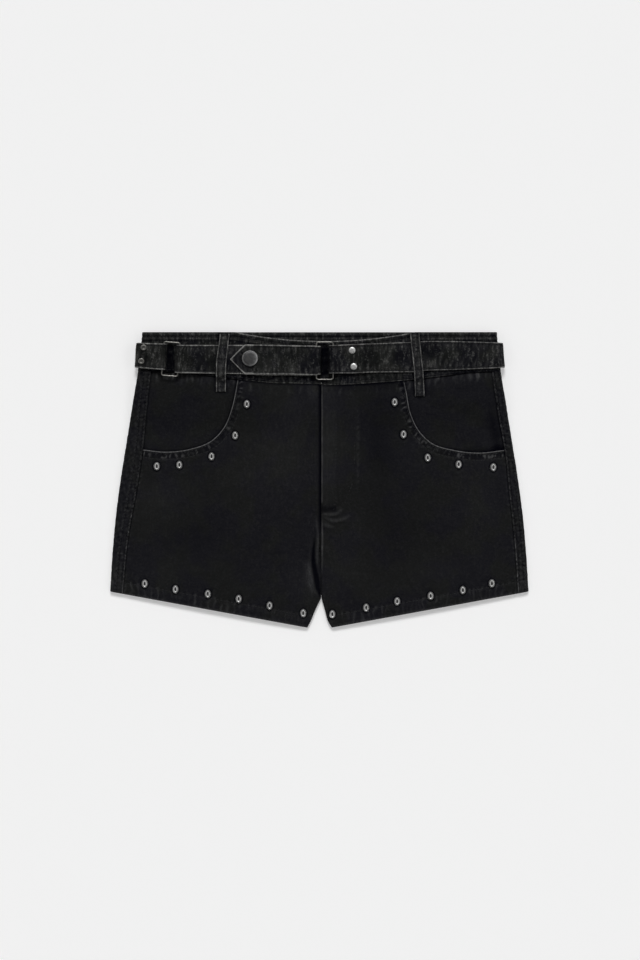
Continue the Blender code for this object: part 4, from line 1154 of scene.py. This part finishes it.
def belt_look(seed, edge_width=1.3, tip_from=None, is_loop=False):
    """Edges rubbed grey, stitched rows beside them, and puckers that run in from both edges."""
    def look(centre, place, low, high):
        x, y = centre[..., 0], centre[..., 1]
        front = centre[..., 2] > BAND_TOP
        low_ripple = pucker(place, place, low, 4.6, seed)
        high_ripple = pucker(place, place, low, 4.2, seed + 1)
        blots = clouds(place, 0.5 * low, 6.0, seed + 3)
        edge = np.minimum(low, high)
        relief = -0.30 * bump(edge, 1.9, 0.6)
        relief += 0.18 * low_ripple * np.exp(-low / 6.0) * smoothstep(low, 0.4, 2.6)
        relief += 0.18 * high_ripple * np.exp(-high / 6.0) * smoothstep(high, 0.4, 2.6)
        relief += 0.06 * blots * smoothstep(edge, 1.0, 5.0)
        relief += 0.14 * clouds(place, low, 26.0, seed + 4) * smoothstep(edge, 1.0, 5.0)
        for _, across, up, scale in RIVETS:
            far = np.hypot(x - across, y - up)
            angle = np.arctan2(y - up, x - across)
            relief -= 0.35 * scale * np.exp(-((far / 5.6) ** 2))
            relief += 0.12 * scale * np.cos(11.0 * angle) * bump(far, 7.0, 2.4)
        rub = 0.85 + 0.20 * pucker(place, place, low, 13.0, seed + 5)
        worn = 0.72 * fall(edge, 0.45 * edge_width, edge_width) * rub
        if tip_from is not None:
            tip = smoothstep(place, tip_from, tip_from + 4.0)
            worn += 1.3 * tip * fall(edge, 1.1, 2.1)
            worn += 1.3 * smoothstep(place, tip_from + 22.5, tip_from + 25.0)
        light, dark = washed(BELT_WASHED, x, y)
        broad = clouds(place, low, 30.0, seed + 6)
        broken = upto(0.7 + 0.7 * blots, 1.5)
        worn += light * broken * front + 0.11 * upto(0.35 + low_ripple, 1.6) * bump(low, 4.6, 3.0)
        worn += 0.11 * upto(0.35 + high_ripple, 1.6) * bump(high, 4.6, 3.0)
        worn += 0.03 * upto(blots, 1.6) + 0.03 * upto(broad, 1.6)
        # Painted shade in the stitched groove by each edge; the blots, broad and washed patches are darker
        # tone.
        shade = 0.55 * bump(edge, 1.9, 0.6) + 0.15 * upto(-blots, 1.2) + 0.20 * upto(-broad, 1.2)
        shade += 0.7 * front * dark * broken
        if not is_loop:
            # Painted shadow beside the front loops.
            shade += 0.35 * front * beside_loops(x, y)
            # Lighter edges along the left part: wear, with painted light on the lower edge's rounding, which
            # faces away from the sun.
            on_left = fall(x, -8.0, 8.0)
            worn += (0.15 + 0.55 * on_left) * front * fall(low, 0.5, 1.5)
            worn += 0.25 * on_left * front * fall(high, 0.3, 1.3)
        # Painted shade on the belt's ends where they turn round the buckles' bars.
        for _, across, _, width, *_ in BUCKLES:
            near = fall(np.abs(x - across), width / 2 - 5.0, width / 2 + 0.5)
            shade += 0.30 * front * near
        return relief, worn, shade
    return look


def make_belt():
    left_bar = BUCKLES[0][1] - BUCKLES[0][3] / 2 + WIRE_RADIUS
    right_bar = BUCKLES[1][1] + BUCKLES[1][3] / 2 - WIRE_RADIUS
    lines = []
    for level, (back_up, reach) in enumerate(BELT_BACK_EDGES):
        path = [(BELT_UNDER_RIGHT, LAYER_LOW)]
        path += run_to(path[-1], (right_bar - CENTRE_SLACK, LAYER_LOW), 6)[:-1]
        path += turn_round(right_bar - CENTRE_SLACK, BAR_HEIGHT, BAR_RADIUS, 270.0, 90.0)
        path.append((right_bar, LAYER_BAR))
        path += run_to(path[-1], (right_bar + EASE_FROM_BAR, LAYER_HIGH), 6)
        path += run_to(path[-1], (BELT_UNDER_RIGHT + SEAM_GAP, LAYER_HIGH), 5)
        path += run_to(path[-1], (BELT_UNDER_RIGHT + EASE_OFF_UNDER, LAYER_LOW), 6)
        path += run_to(path[-1], (BELT_FLAT_REACH, LAYER_LOW), 24)
        turn_start = len(path)
        path += side_turn(1, LAYER_LOW, LAYER_BACK, reach + BELT_MORE_RIGHT[level])
        path += run_to((BELT_FLAT_REACH, LAYER_BACK), (-BELT_FLAT_REACH, LAYER_BACK), 60)
        path += side_turn(-1, LAYER_HIGH, LAYER_BACK, reach)[::-1]
        turn_end = len(path)
        path.append((left_bar - EASE_FROM_BAR, LAYER_HIGH))
        path += run_to(path[-1], (left_bar, LAYER_BAR), 6)
        path += turn_round(left_bar + LEFT_SLACK, BAR_HEIGHT, BAR_RADIUS, 90.0, -90.0)
        path += run_to(path[-1], (BELT_UNDER_LEFT, LAYER_LOW), 6)
        line = []
        for index, (across, height) in enumerate(path):
            if turn_start <= index < turn_end:
                line.append((across, back_up, height))
            else:
                up = float(belt_edges(across)[level])
                line.append((float(leaned(across, up)), up, height))
        lines.append(line)
    lower, upper = densify(lines, 1.3)
    piece, outer, normals, f = ribbon("cloth_belt", lower, upper, BELT_CLOTH, BAND, belt_look(210), rows=1.4)
    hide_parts("belt")
    sew_edges("belt", outer, normals, f, BELT_ROW, 3.0)


def densify(lines, step):
    """Both lines of a ribbon with the same points added, so that no run is longer than a step."""
    first, second = (np.array(line, float) for line in lines)
    lengths = np.maximum(steps(first), steps(second))
    out = [[first[0]], [second[0]]]
    for i, length in enumerate(lengths):
        pieces = max(1, int(math.ceil(length / step)))
        for k in range(1, pieces + 1):
            t = k / pieces
            out[0].append(first[i] * (1 - t) + first[i + 1] * t)
            out[1].append(second[i] * (1 - t) + second[i + 1] * t)
    first, second = np.array(out[0]), np.array(out[1])
    for _ in range(2):
        for line in (first, second):
            line[1:-1] = line[1:-1] * 0.5 + (line[:-2] + line[2:]) * 0.25
    return first, second


def make_strap():
    left_bar = BUCKLES[0][1] + BUCKLES[0][3] / 2 - WIRE_RADIUS
    right_bar = BUCKLES[1][1] - BUCKLES[1][3] / 2 + WIRE_RADIUS
    path = [(STRAP_UNDER_RIGHT, LAYER_LOW)]
    path += run_to(path[-1], (left_bar - LEFT_SLACK, LAYER_LOW), 4)[:-1]
    path += turn_round(left_bar - LEFT_SLACK, BAR_HEIGHT, BAR_RADIUS, 270.0, 90.0)
    path.append((left_bar, LAYER_BAR))
    path += run_to(path[-1], (left_bar + EASE_FROM_BAR, LAYER_HIGH), 6)
    path += run_to(path[-1], (STRAP_UNDER_RIGHT + SEAM_GAP, LAYER_HIGH), 4)
    path += run_to(path[-1], (STRAP_UNDER_RIGHT + EASE_OFF_UNDER, LAYER_LOW), 6)
    path += run_to(path[-1], (right_bar + CENTRE_SLACK, LAYER_LOW), 30)[:-1]
    path += turn_round(right_bar + CENTRE_SLACK, BAR_HEIGHT, BAR_RADIUS, -90.0, 90.0)
    tab_start = len(path)
    path.append((right_bar, LAYER_BAR))
    path += run_to(path[-1], (right_bar - EASE_FROM_BAR, LAYER_HIGH), 6)
    path += run_to(path[-1], (TAB_SHOULDER_ACROSS, LAYER_HIGH), 16)
    shoulder = len(path)
    path += run_to(path[-1], (TAB_TIP[0], LAYER_HIGH), 8)
    lines = []
    for level, outward in enumerate((-1.0, 1.0)):
        line = []
        for index, (across, height) in enumerate(path):
            up = float(belt_edges(across)[level])
            if height < LAYER_HIGH and level == 0 and index < tab_start:
                up -= UNDER_LAYER_SHOWS * float(window(across, *UNDER_LAYER_REACH, 8.0))
            if index >= tab_start:
                up += outward * TAB_OVERHANG
            if index >= shoulder:
                t = (across - TAB_SHOULDER_ACROSS) / (TAB_TIP[0] - TAB_SHOULDER_ACROSS)
                up += (TAB_TIP[1] + outward * 0.5 - up) * t
            line.append((float(leaned(across, up)), up, height))
        lines.append(line)
    lower, upper = densify(lines, 1.2)
    upper[-1], lower[-1] = lines[1][-1], lines[0][-1]
    length = steps((lower + upper) / 2).sum()
    look = belt_look(240, 1.7, tip_from=length - 26.0)
    piece, outer, normals, f = ribbon("cloth_strap", lower, upper, BELT_CLOTH, BAND, look, rows=1.3)
    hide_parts("strap")
    sew_edges("belt", outer, normals, f, BELT_ROW, 3.0)


def band_look(centre, place, low, high):
    x, y = centre[..., 0], centre[..., 1]
    front = centre[..., 2] > (BAND_BASE + BAND_TOP) / 2
    inside = ~front
    top_ripple = pucker(x, x, y, 4.4, 130) * front + pucker(x, x, y, 4.6, 133) * inside
    low_ripple = pucker(x, x, y, 5.4, 131)
    blots = clouds(x, y, 6.5, 134)
    relief = -0.34 * bump(high, 4.6, 0.8) - 0.26 * bump(low, 2.4, 0.7)
    relief -= 0.30 * bump(high, 9.0, 0.8)
    relief += 0.13 * top_ripple * np.exp(-high / 7.0) * smoothstep(high, 0.3, 2.5)
    relief += 0.12 * low_ripple * np.exp(-low / 5.0) * smoothstep(low, 0.3, 2.5)
    relief += 0.14 * clouds(x, y, 24.0, 135) + 0.07 * blots
    in_dip = fall(np.abs(x - FRONT_DIP_CENTRE), FRONT_DIP_REACH - 8.0, FRONT_DIP_REACH + 2.0)
    rub = 0.88 + 0.14 * ripple(x, 17.0, 136)
    worn = front * in_dip * 0.72 * fall(high, 0.45, 1.4) * rub
    worn += (1.0 - front * in_dip) * 0.10 * fall(high, 0.8, 3.4)
    worn += (0.06 + 0.04 * inside) * upto(top_ripple, 1.6) * window(high, 1.5, 9.0)
    worn += 0.17 * bump(high, 6.6, 0.8) * upto(0.8 + 0.5 * top_ripple, 1.5)
    right = 0.03 + 0.36 * smoothstep(x, -96.0, -70.0) + 0.06 * smoothstep(x, 0.0, 50.0)
    right = right * fall(x, 122.0, 146.0)
    worn += right * front * fall(low, 0.3, 1.2) * upto(0.8 + 0.4 * low_ripple, 1.5)
    worn += 0.10 * front * bump(low, 3.6, 0.6) * upto(0.6 + 0.6 * low_ripple, 1.5)
    worn += 0.05 * upto(low_ripple, 1.6) * window(low, 1.5, 8.0) + 0.04 * upto(blots, 1.6)
    # Painted shade in the stitched grooves; the blots are darker tone.
    shade = 0.75 * bump(high, 4.4, 0.9) + 0.45 * bump(low, 2.2, 0.8) + 0.7 * bump(high, 9.0, 1.2)
    shade += 0.15 * upto(-blots, 1.5)
    # Painted shadow on the waistband below the belt's lower edge, and beside the loops.
    under = belt_edges(x)[0] - y
    depth = 0.50 - 0.20 * smoothstep(x, 0.0, 40.0)
    depth = depth * np.clip(1.0 - 0.35 * blots, 0.6, 1.3)
    shade += depth * front * smoothstep(under, -3.0, 0.0) * fall(under, 5.0, 9.5)
    shade += 0.6 * front * beside_loops(x, y)
    # Painted shadow on the waistband in the gaps inside the buckles, with painted light at the gaps' sides.
    low_edge, high_edge = belt_edges(x)
    between = smoothstep(y, low_edge - 1.0, low_edge + 2.0) * fall(y, high_edge - 2.0, high_edge + 1.0)
    for _, across, _, width, *_ in BUCKLES:
        on_right = 1.0 if across > 0 else 0.0
        middle = fall(np.abs(x - across + 0.6 * (1.0 - on_right)), 3.2, 5.2)
        shade += 0.80 * front * middle * between
        gap = window(x - across, -0.5 * width, 0.5 * width, 1.0) * between
        worn += (0.02 + 0.10 * on_right) * front * (1.0 - middle) * gap
    return relief, worn, shade


def plain_look(centre, place, low, high):
    """Smooth cloth, a little rubbed along its edges."""
    worn = 0.5 * fall(np.minimum(low, high), 0.4, 1.4)
    return np.zeros(low.shape), worn, np.zeros(low.shape)


def make_seam_allowance():
    """The turned-in edges behind the centre seam, between the fronts and the backs."""
    ups = np.arange(CROTCH_UP + 3.0, ALLOWANCE_TOP, 2.0)
    lines = [np.stack([np.full(len(ups), across), ups, back_height(ups) + ALLOWANCE_LIFT], -1)
             for across in (CENTRE_ACROSS - ALLOWANCE_HALF, CENTRE_ACROSS + ALLOWANCE_HALF)]
    piece, _, _, _ = ribbon("cloth_seam_allowance", *lines, ALLOWANCE_CLOTH, BODY, plain_look, rows=2.2,
                            edge_radius=0.4)


def make_waistband():
    low_height = BAND_BASE + BAND_CLOTH / 2
    high_height = BAND_TOP - BAND_CLOTH / 2
    fold, middle = (high_height - low_height) / 2, (high_height + low_height) / 2
    lines = []
    for t in (0.0, 1.0):
        side_up = BAND_LOW_SIDE + (WAIST_UP - BAND_LOW_SIDE) * t
        bend = float(half_width(side_up)) - BAND_CLOTH / 2 - fold
        line = []

        def front_run(start, end, step_up):
            for across in np.linspace(start, end, 150):
                up = float(band_low(across) * (1 - t) + band_top(across) * t)
                lift = step_up * float(smoothstep(-across, -9.0, -4.0))
                line.append((across, up, high_height + lift))

        front_run(CENTRE_ACROSS - SEAM_GAP / 2, -bend, 0.0)
        for angle in np.linspace(0.0, math.pi, 11)[1:-1]:
            line.append((-bend - fold * math.sin(angle), side_up, middle + fold * math.cos(angle)))
        for across in np.linspace(-bend, bend, 260):
            line.append((across, side_up, low_height))
        for angle in np.linspace(0.0, math.pi, 11)[1:-1]:
            line.append((bend + fold * math.sin(angle), side_up, middle - fold * math.cos(angle)))
        front_run(bend, CENTRE_ACROSS + SEAM_GAP / 2, FLY_STEP)
        lines.append(np.array(line))
    piece, outer, normals, f = ribbon("cloth_waistband", *lines, BAND_CLOTH, BAND, band_look, flip=True,
                                      edge_radius=0.9)
    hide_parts("waistband")
    for level, row in BAND_ROWS.items():
        sew("band", *contour(outer, normals, f[level], row, reverse=level == "high"), skip=1.5)


def make_loops():
    half = LOOP_CLOTH / 2
    over = LAYER_LOW + BELT_CLOTH / 2 + SEAM_GAP + half
    for number, (name, across_top, up_top, across_low, up_low) in enumerate(FRONT_LOOPS):
        belt_low, belt_high = (float(v) for v in belt_edges((across_top + across_low) / 2))
        on_band = FRONT_BELT_BASE + half
        band_edge = float(band_low(across_low))
        profile = [
            (up_top, on_band), (belt_high + LOOP_RISE, on_band), (belt_high + LOOP_ROUND, over - LOOP_SAG),
            (belt_high - LOOP_ROUND, over), ((belt_low + belt_high) / 2, over), (belt_low + LOOP_ROUND, over),
            (belt_low - LOOP_ROUND, over - LOOP_SAG), (band_edge - LOOP_ROUND / 2, on_band + LOOP_SAG),
        ]
        foot_from = band_edge - LOOP_FOOT
        for c in range(3):
            up = foot_from + (up_low - foot_from) * c / 2
            profile.append((up, float(front_height(across_low, up)) - (CLOTH - half)))
        profile = resample(profile, 1.0)
        up, height = profile.T
        lines = [np.stack([across, up, height], -1) for across in loop_edges(name, up)]
        look = belt_look(300 + 10 * number, is_loop=True)
        piece, outer, normals, f = ribbon(f"cloth_{name}", *lines, LOOP_CLOTH, BAND, look, rows=1.0,
                                          fine_ends=True)
        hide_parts(name)
        sew_edges("loops", outer, normals, f, LOOP_ROW, 2.0)
    half = BACK_LOOP_CLOTH / 2
    low, high = BELT_BACK_EDGES[0][0], BELT_BACK_EDGES[1][0]
    end_height = BAND_BASE - SEAM_GAP - half
    for name, across in BACK_LOOPS:
        profile = resample([
            (BACK_LOOP_UP[1], end_height), (high + BACK_LOOP_RISE, end_height),
            (high + BACK_LOOP_ROUND, half), (low - BACK_LOOP_ROUND, half), (low - BACK_LOOP_RISE, end_height),
            (BACK_LOOP_UP[0], end_height - BACK_LOOP_SAG),
        ], 1.2)
        up, height = profile[:, 0], np.maximum(profile[:, 1], half)
        lines = [np.stack([np.full(len(up), edge), up, height], -1)
                 for edge in (across - LOOP_WIDTH / 2, across + LOOP_WIDTH / 2)]
        piece, _, _, _ = ribbon(f"cloth_{name}", *lines, BACK_LOOP_CLOTH, BAND, plain_look, fine_ends=True,
                                flip=True)
        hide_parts(name)


# ---------------------------------------------------------------- metal trim
def turned(name, profile, places, material, nodes, segments=32, oval=False, lit=0.0):
    """Turned pieces joined as one, from rows of radius, height and painted shade, at the places on the cloth.

    Each place is across, up, height, and a scale across and up. lit is a painted highlight: how much brighter
    the right side is painted, with painted shade over the top of the rim.
    """
    profile = np.array(profile, float)
    angles = 2 * math.pi * np.arange(segments) / segments
    rings = np.stack([profile[:, None, 0] * np.cos(angles), profile[:, None, 0] * np.sin(angles),
                      np.broadcast_to(profile[:, None, 1], (len(profile), segments))], -1)
    # A painted highlight on the right side, and painted shade over the top of the outer rim.
    outward = (profile[:, 0] / profile[:, 0].max())[:, None]
    around = lit * outward ** 2 * np.maximum(0.0, np.cos(angles + 0.35))
    around = around - 0.8 * lit * smoothstep(outward, 0.8, 0.86) * np.maximum(0.0, np.sin(angles)) ** 4
    around = upto(profile[:, 2:3] - around, 1.0)
    painted_darkness = np.concatenate([around.ravel(), [profile[0, 2], profile[-1, 2]]])
    if oval:
        inner = 1.0 - smoothstep(profile[:, 0], 1.6, 3.6)[:, None]
        rings[..., 0] *= 1.0 - 0.22 * inner
        rings[..., 1] *= 1.0 + 0.35 * inner
    tube = tube_faces(len(profile), segments)[:, [0, 3, 2, 1]]
    top, last = len(profile) * segments, (len(profile) - 1) * segments
    caps = []
    for c in range(0, segments, 2):
        after = (c + 2) % segments
        caps += [(top, c, c + 1, after), (top + 1, last + after, last + c + 1, last + c)]
    points, faces, shade, start = [], [], [], 0
    for across, up, height, scale_x, scale_y in places:
        ring = rings.reshape(-1, 3) * (scale_x, scale_y, 1.0) + (across, up, height)
        points.append(ring)
        points.append(np.array([[across, up, height + profile[0, 1]], [across, up, height + profile[-1, 1]]]))
        shade.append(painted_darkness)
        faces.append(start + np.concatenate([tube, caps]))
        start += len(ring) + 2
    shade = {"shade": np.concatenate(shade)}
    piece = make_piece(name, np.concatenate(points), np.concatenate(faces), material, shade)
    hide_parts(*nodes)


STUD = (  # radius, height, painted shade: a dished crown on a thin lip, its dish and lip painted dark
    (0.4, 1.95, 0.92), (1.0, 2.00, 0.92), (1.35, 2.16, 0.85), (1.6, 2.42, 0.2), (1.85, 2.62, 0.0),
    (2.25, 2.68, 0.0), (2.6, 2.52, 0.0), (3.0, 2.16, 0.0), (3.4, 1.66, 0.0), (3.75, 1.05, 0.0),
    (4.0, 0.55, 0.15), (4.15, 0.3, 0.5), (4.2, 0.1, 0.8), (3.9, -0.25, 0.8),
)
STUD_RADIUS = 4.2
RIVET = (  # radius, height, painted shade, and so in the two tables below: the ring rivets' centres and the snap's face are painted dark
    (0.5, 1.28, 0.14), (1.4, 1.27, 0.12), (2.2, 1.24, 0.04), (2.8, 1.16, 0.0), (3.3, 0.98, 0.0),
    (3.7, 0.6, 0.05), (3.9, 0.2, 0.3), (3.95, 0.0, 0.8), (3.8, -0.25, 0.8),
)
RING_RIVET = (
    (0.5, 1.02, 0.30), (1.2, 1.00, 0.45), (1.7, 1.04, 0.50), (2.2, 1.20, 0.10), (2.8, 1.28, 0.0),
    (3.4, 1.12, 0.0), (3.85, 0.70, 0.1), (3.95, 0.25, 0.5), (3.95, 0.0, 0.8), (3.8, -0.25, 0.8),
)
SNAP = (
    (1.0, 2.62, 0.77), (3.0, 2.59, 0.77), (5.0, 2.52, 0.77), (6.0, 2.46, 0.76), (6.5, 2.36, 0.80),
    (6.75, 2.30, 0.82), (6.95, 2.34, 0.6), (7.2, 2.34, 0.5), (7.65, 2.16, 0.5), (8.05, 1.92, 0.5),
    (8.25, 1.55, 0.5), (8.3, 0.9, 0.6), (8.0, 0.3, 0.8), (7.6, -0.2, 0.8),
)


def make_trim():
    studs = []
    for across, up in STUDS:
        ring = np.radians(np.linspace(0, 360, 9))
        x, y = across + STUD_RADIUS * np.cos(ring), up + STUD_RADIUS * np.sin(ring)
        studs.append((across, up, float(np.max(front_height(x, y))) - 0.05, 0.82, 1.08))
    nodes = [f"{name}_{n + 1}" for name, row in STUD_ROWS.items() for n in range(len(row))]
    turned("studs", STUD, studs, NICKEL, nodes, oval=True)
    on_belt = LAYER_HIGH + BELT_CLOTH / 2 + 0.1
    for word, profile, metal_look, size in (("right", RIVET, NICKEL, 0.93), ("left", RING_RIVET, WIRE, 1.0)):
        rivets = [row for row in RIVETS if word in row[0]]
        places = [(across, up, on_belt, size * scale, size * scale) for _, across, up, scale in rivets]
        turned(f"rivets_{word}", profile, places, metal_look, [row[0] for row in rivets])
    snap = [(*SNAP_CENTRE, on_belt, 1.0, 1.0)]
    # The snap's rim gets a painted highlight on its right side.
    turned("snap", SNAP, snap, GUNMETAL, ["snap_cap"], segments=64, lit=0.5)


def make_buckles():
    for name, across, up, width, length, turn, corner in BUCKLES:
        half_x, half_y = width / 2 - WIRE_RADIUS - corner, length / 2 - WIRE_RADIUS - corner
        path = []
        for quarter, (sx, sy) in enumerate(((1, 1), (-1, 1), (-1, -1), (1, -1))):
            path += turn_round(sx * half_x, sy * half_y, corner, 90.0 * quarter, 90.0 * quarter + 90.0)
        path = np.array(path + path[:1])
        filled = [path[0]]
        for a, b in zip(path[:-1], path[1:]):
            pieces = max(1, int(np.hypot(*(b - a)) / WIRE_STEP))
            filled += [a + (b - a) * k / pieces for k in range(1, pieces + 1)]
        path = np.array(filled[:-1])
        tangent = np.roll(path, -1, axis=0) - np.roll(path, 1, axis=0)
        tangent /= np.linalg.norm(tangent, axis=1, keepdims=True)
        outward = np.stack([tangent[:, 1], -tangent[:, 0]], -1)
        angles = 2 * math.pi * np.arange(WIRE_SIDES) / WIRE_SIDES
        wave = WIRE_WAVE * np.sin(np.arange(len(path)) * 4 * math.pi / len(path))
        ring_xy = path[:, None] + outward[:, None] * (WIRE_LOOK_RADIUS * np.cos(angles))[None, :, None]
        ring_z = WIRE_LOOK_RADIUS * np.sin(angles)[None] + wave[:, None]
        t = math.radians(turn)
        x = across + ring_xy[..., 0] * math.cos(t) - ring_xy[..., 1] * math.sin(t)
        y = up + ring_xy[..., 0] * math.sin(t) + ring_xy[..., 1] * math.cos(t)
        points = np.stack([x, y, BAR_HEIGHT + ring_z], -1).reshape(-1, 3)
        faces = tube_faces(len(path), WIRE_SIDES, closed=True)
        piece = make_piece(f"wire_{name}", points, faces, WIRE, {"shade": np.zeros(len(points))})
        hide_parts(name)


# ---------------------------------------------------------------- floor, light and camera
FLOOR_TONE = 0.80
FLOOR_GLOW = 0.325
FLOOR_SIZE = 6.0
FLOOR_UNDER = 0.0002
SUN_ELEVATION = 46.0
SUN_ENERGY = 1.92
SUN_SOFTNESS = 19.0
SENSOR_WIDTH = 36.0
CAMERA_DISTANCE = 4.0
CAMERA_HEIGHT_OF_SCALE = 0.006
MM_PER_PIXEL = 1.04
FRAME_LONG_SIDE = 960
FRAME_CENTRE = (0.00068, -0.00016)


def make_floor():
    """A white table, faintly lit from below."""
    mesh = bpy.data.meshes.new("floor")
    corners = [(FLOOR_SIZE * x, FLOOR_SIZE * y, 0) for x, y in ((-1, -1), (1, -1), (1, 1), (-1, 1))]
    mesh.from_pydata(corners, [], [(0, 1, 2, 3)])
    floor = bpy.data.objects.new("floor", mesh)
    bpy.context.scene.collection.objects.link(floor)
    floor.location.z = -FLOOR_UNDER
    material = bpy.data.materials.new("floor")
    Nodes(material).give(
        Base_Color=(FLOOR_TONE, FLOOR_TONE, FLOOR_TONE), Roughness=0.9, Specular_IOR_Level=0.0,
        Emission_Color=(1.0, 1.0, 1.0), Emission_Strength=FLOOR_GLOW)
    mesh.materials.append(material)


def make_light():
    """A dim even sky with a soft strip on each side, and a soft sun from above the waist."""
    world = bpy.data.worlds.new("studio")
    bpy.context.scene.world = world
    n = Nodes(world, "Background")
    x, y, z = n.add("SeparateXYZ", 0, {0: n.add("TexCoord", "Generated")}).node.outputs
    sky = n.ramp(z, 0.15, 0.95, 0.22, 0.11)
    across, up = n.maths("ABSOLUTE", x), n.maths("ABSOLUTE", y)
    strip = n.times(n.ramp(across, 0.55, 0.66), n.ramp(across, 0.84, 0.76))
    strip = n.times(strip, n.ramp(up, 0.62, 0.50))
    strip = n.times(strip, n.ramp(x, -0.5, 0.5, 0.65, 1.35))
    n.give(Strength=n.maths("ADD", sky, n.times(strip, 0.75)), Color=(1.0, 1.0, 1.0))
    sun = bpy.data.lights.new("key", "SUN")
    sun.energy = SUN_ENERGY
    sun.angle = math.radians(SUN_SOFTNESS)
    lamp = bpy.data.objects.new("key", sun)
    lamp.rotation_euler = (-math.radians(90.0 - SUN_ELEVATION), 0.0, 0.0)
    bpy.context.scene.collection.objects.link(lamp)


def make_camera():
    camera = bpy.data.cameras.new("camera")
    camera.sensor_width = SENSOR_WIDTH
    camera.lens = SENSOR_WIDTH * CAMERA_DISTANCE / (FRAME_LONG_SIDE * MM_PER_PIXEL * MM)
    camera.clip_end = 50.0
    eye = bpy.data.objects.new("camera", camera)
    eye.location = (*FRAME_CENTRE, CAMERA_DISTANCE + CAMERA_HEIGHT_OF_SCALE)
    bpy.context.scene.collection.objects.link(eye)
    bpy.context.scene.camera = eye


# ---------------------------------------------------------------- the scene
make_floor()
make_light()
make_camera()
for side in SIDES:
    back_panel(side)
    pocket_facing(side)
    front_panel(side)
make_seam_allowance()
make_waistband()
make_belt()
make_strap()
make_loops()
make_trim()
make_buckles()
finish_thread(THREAD)
bpy.context.scene.view_settings.view_transform = "Standard"
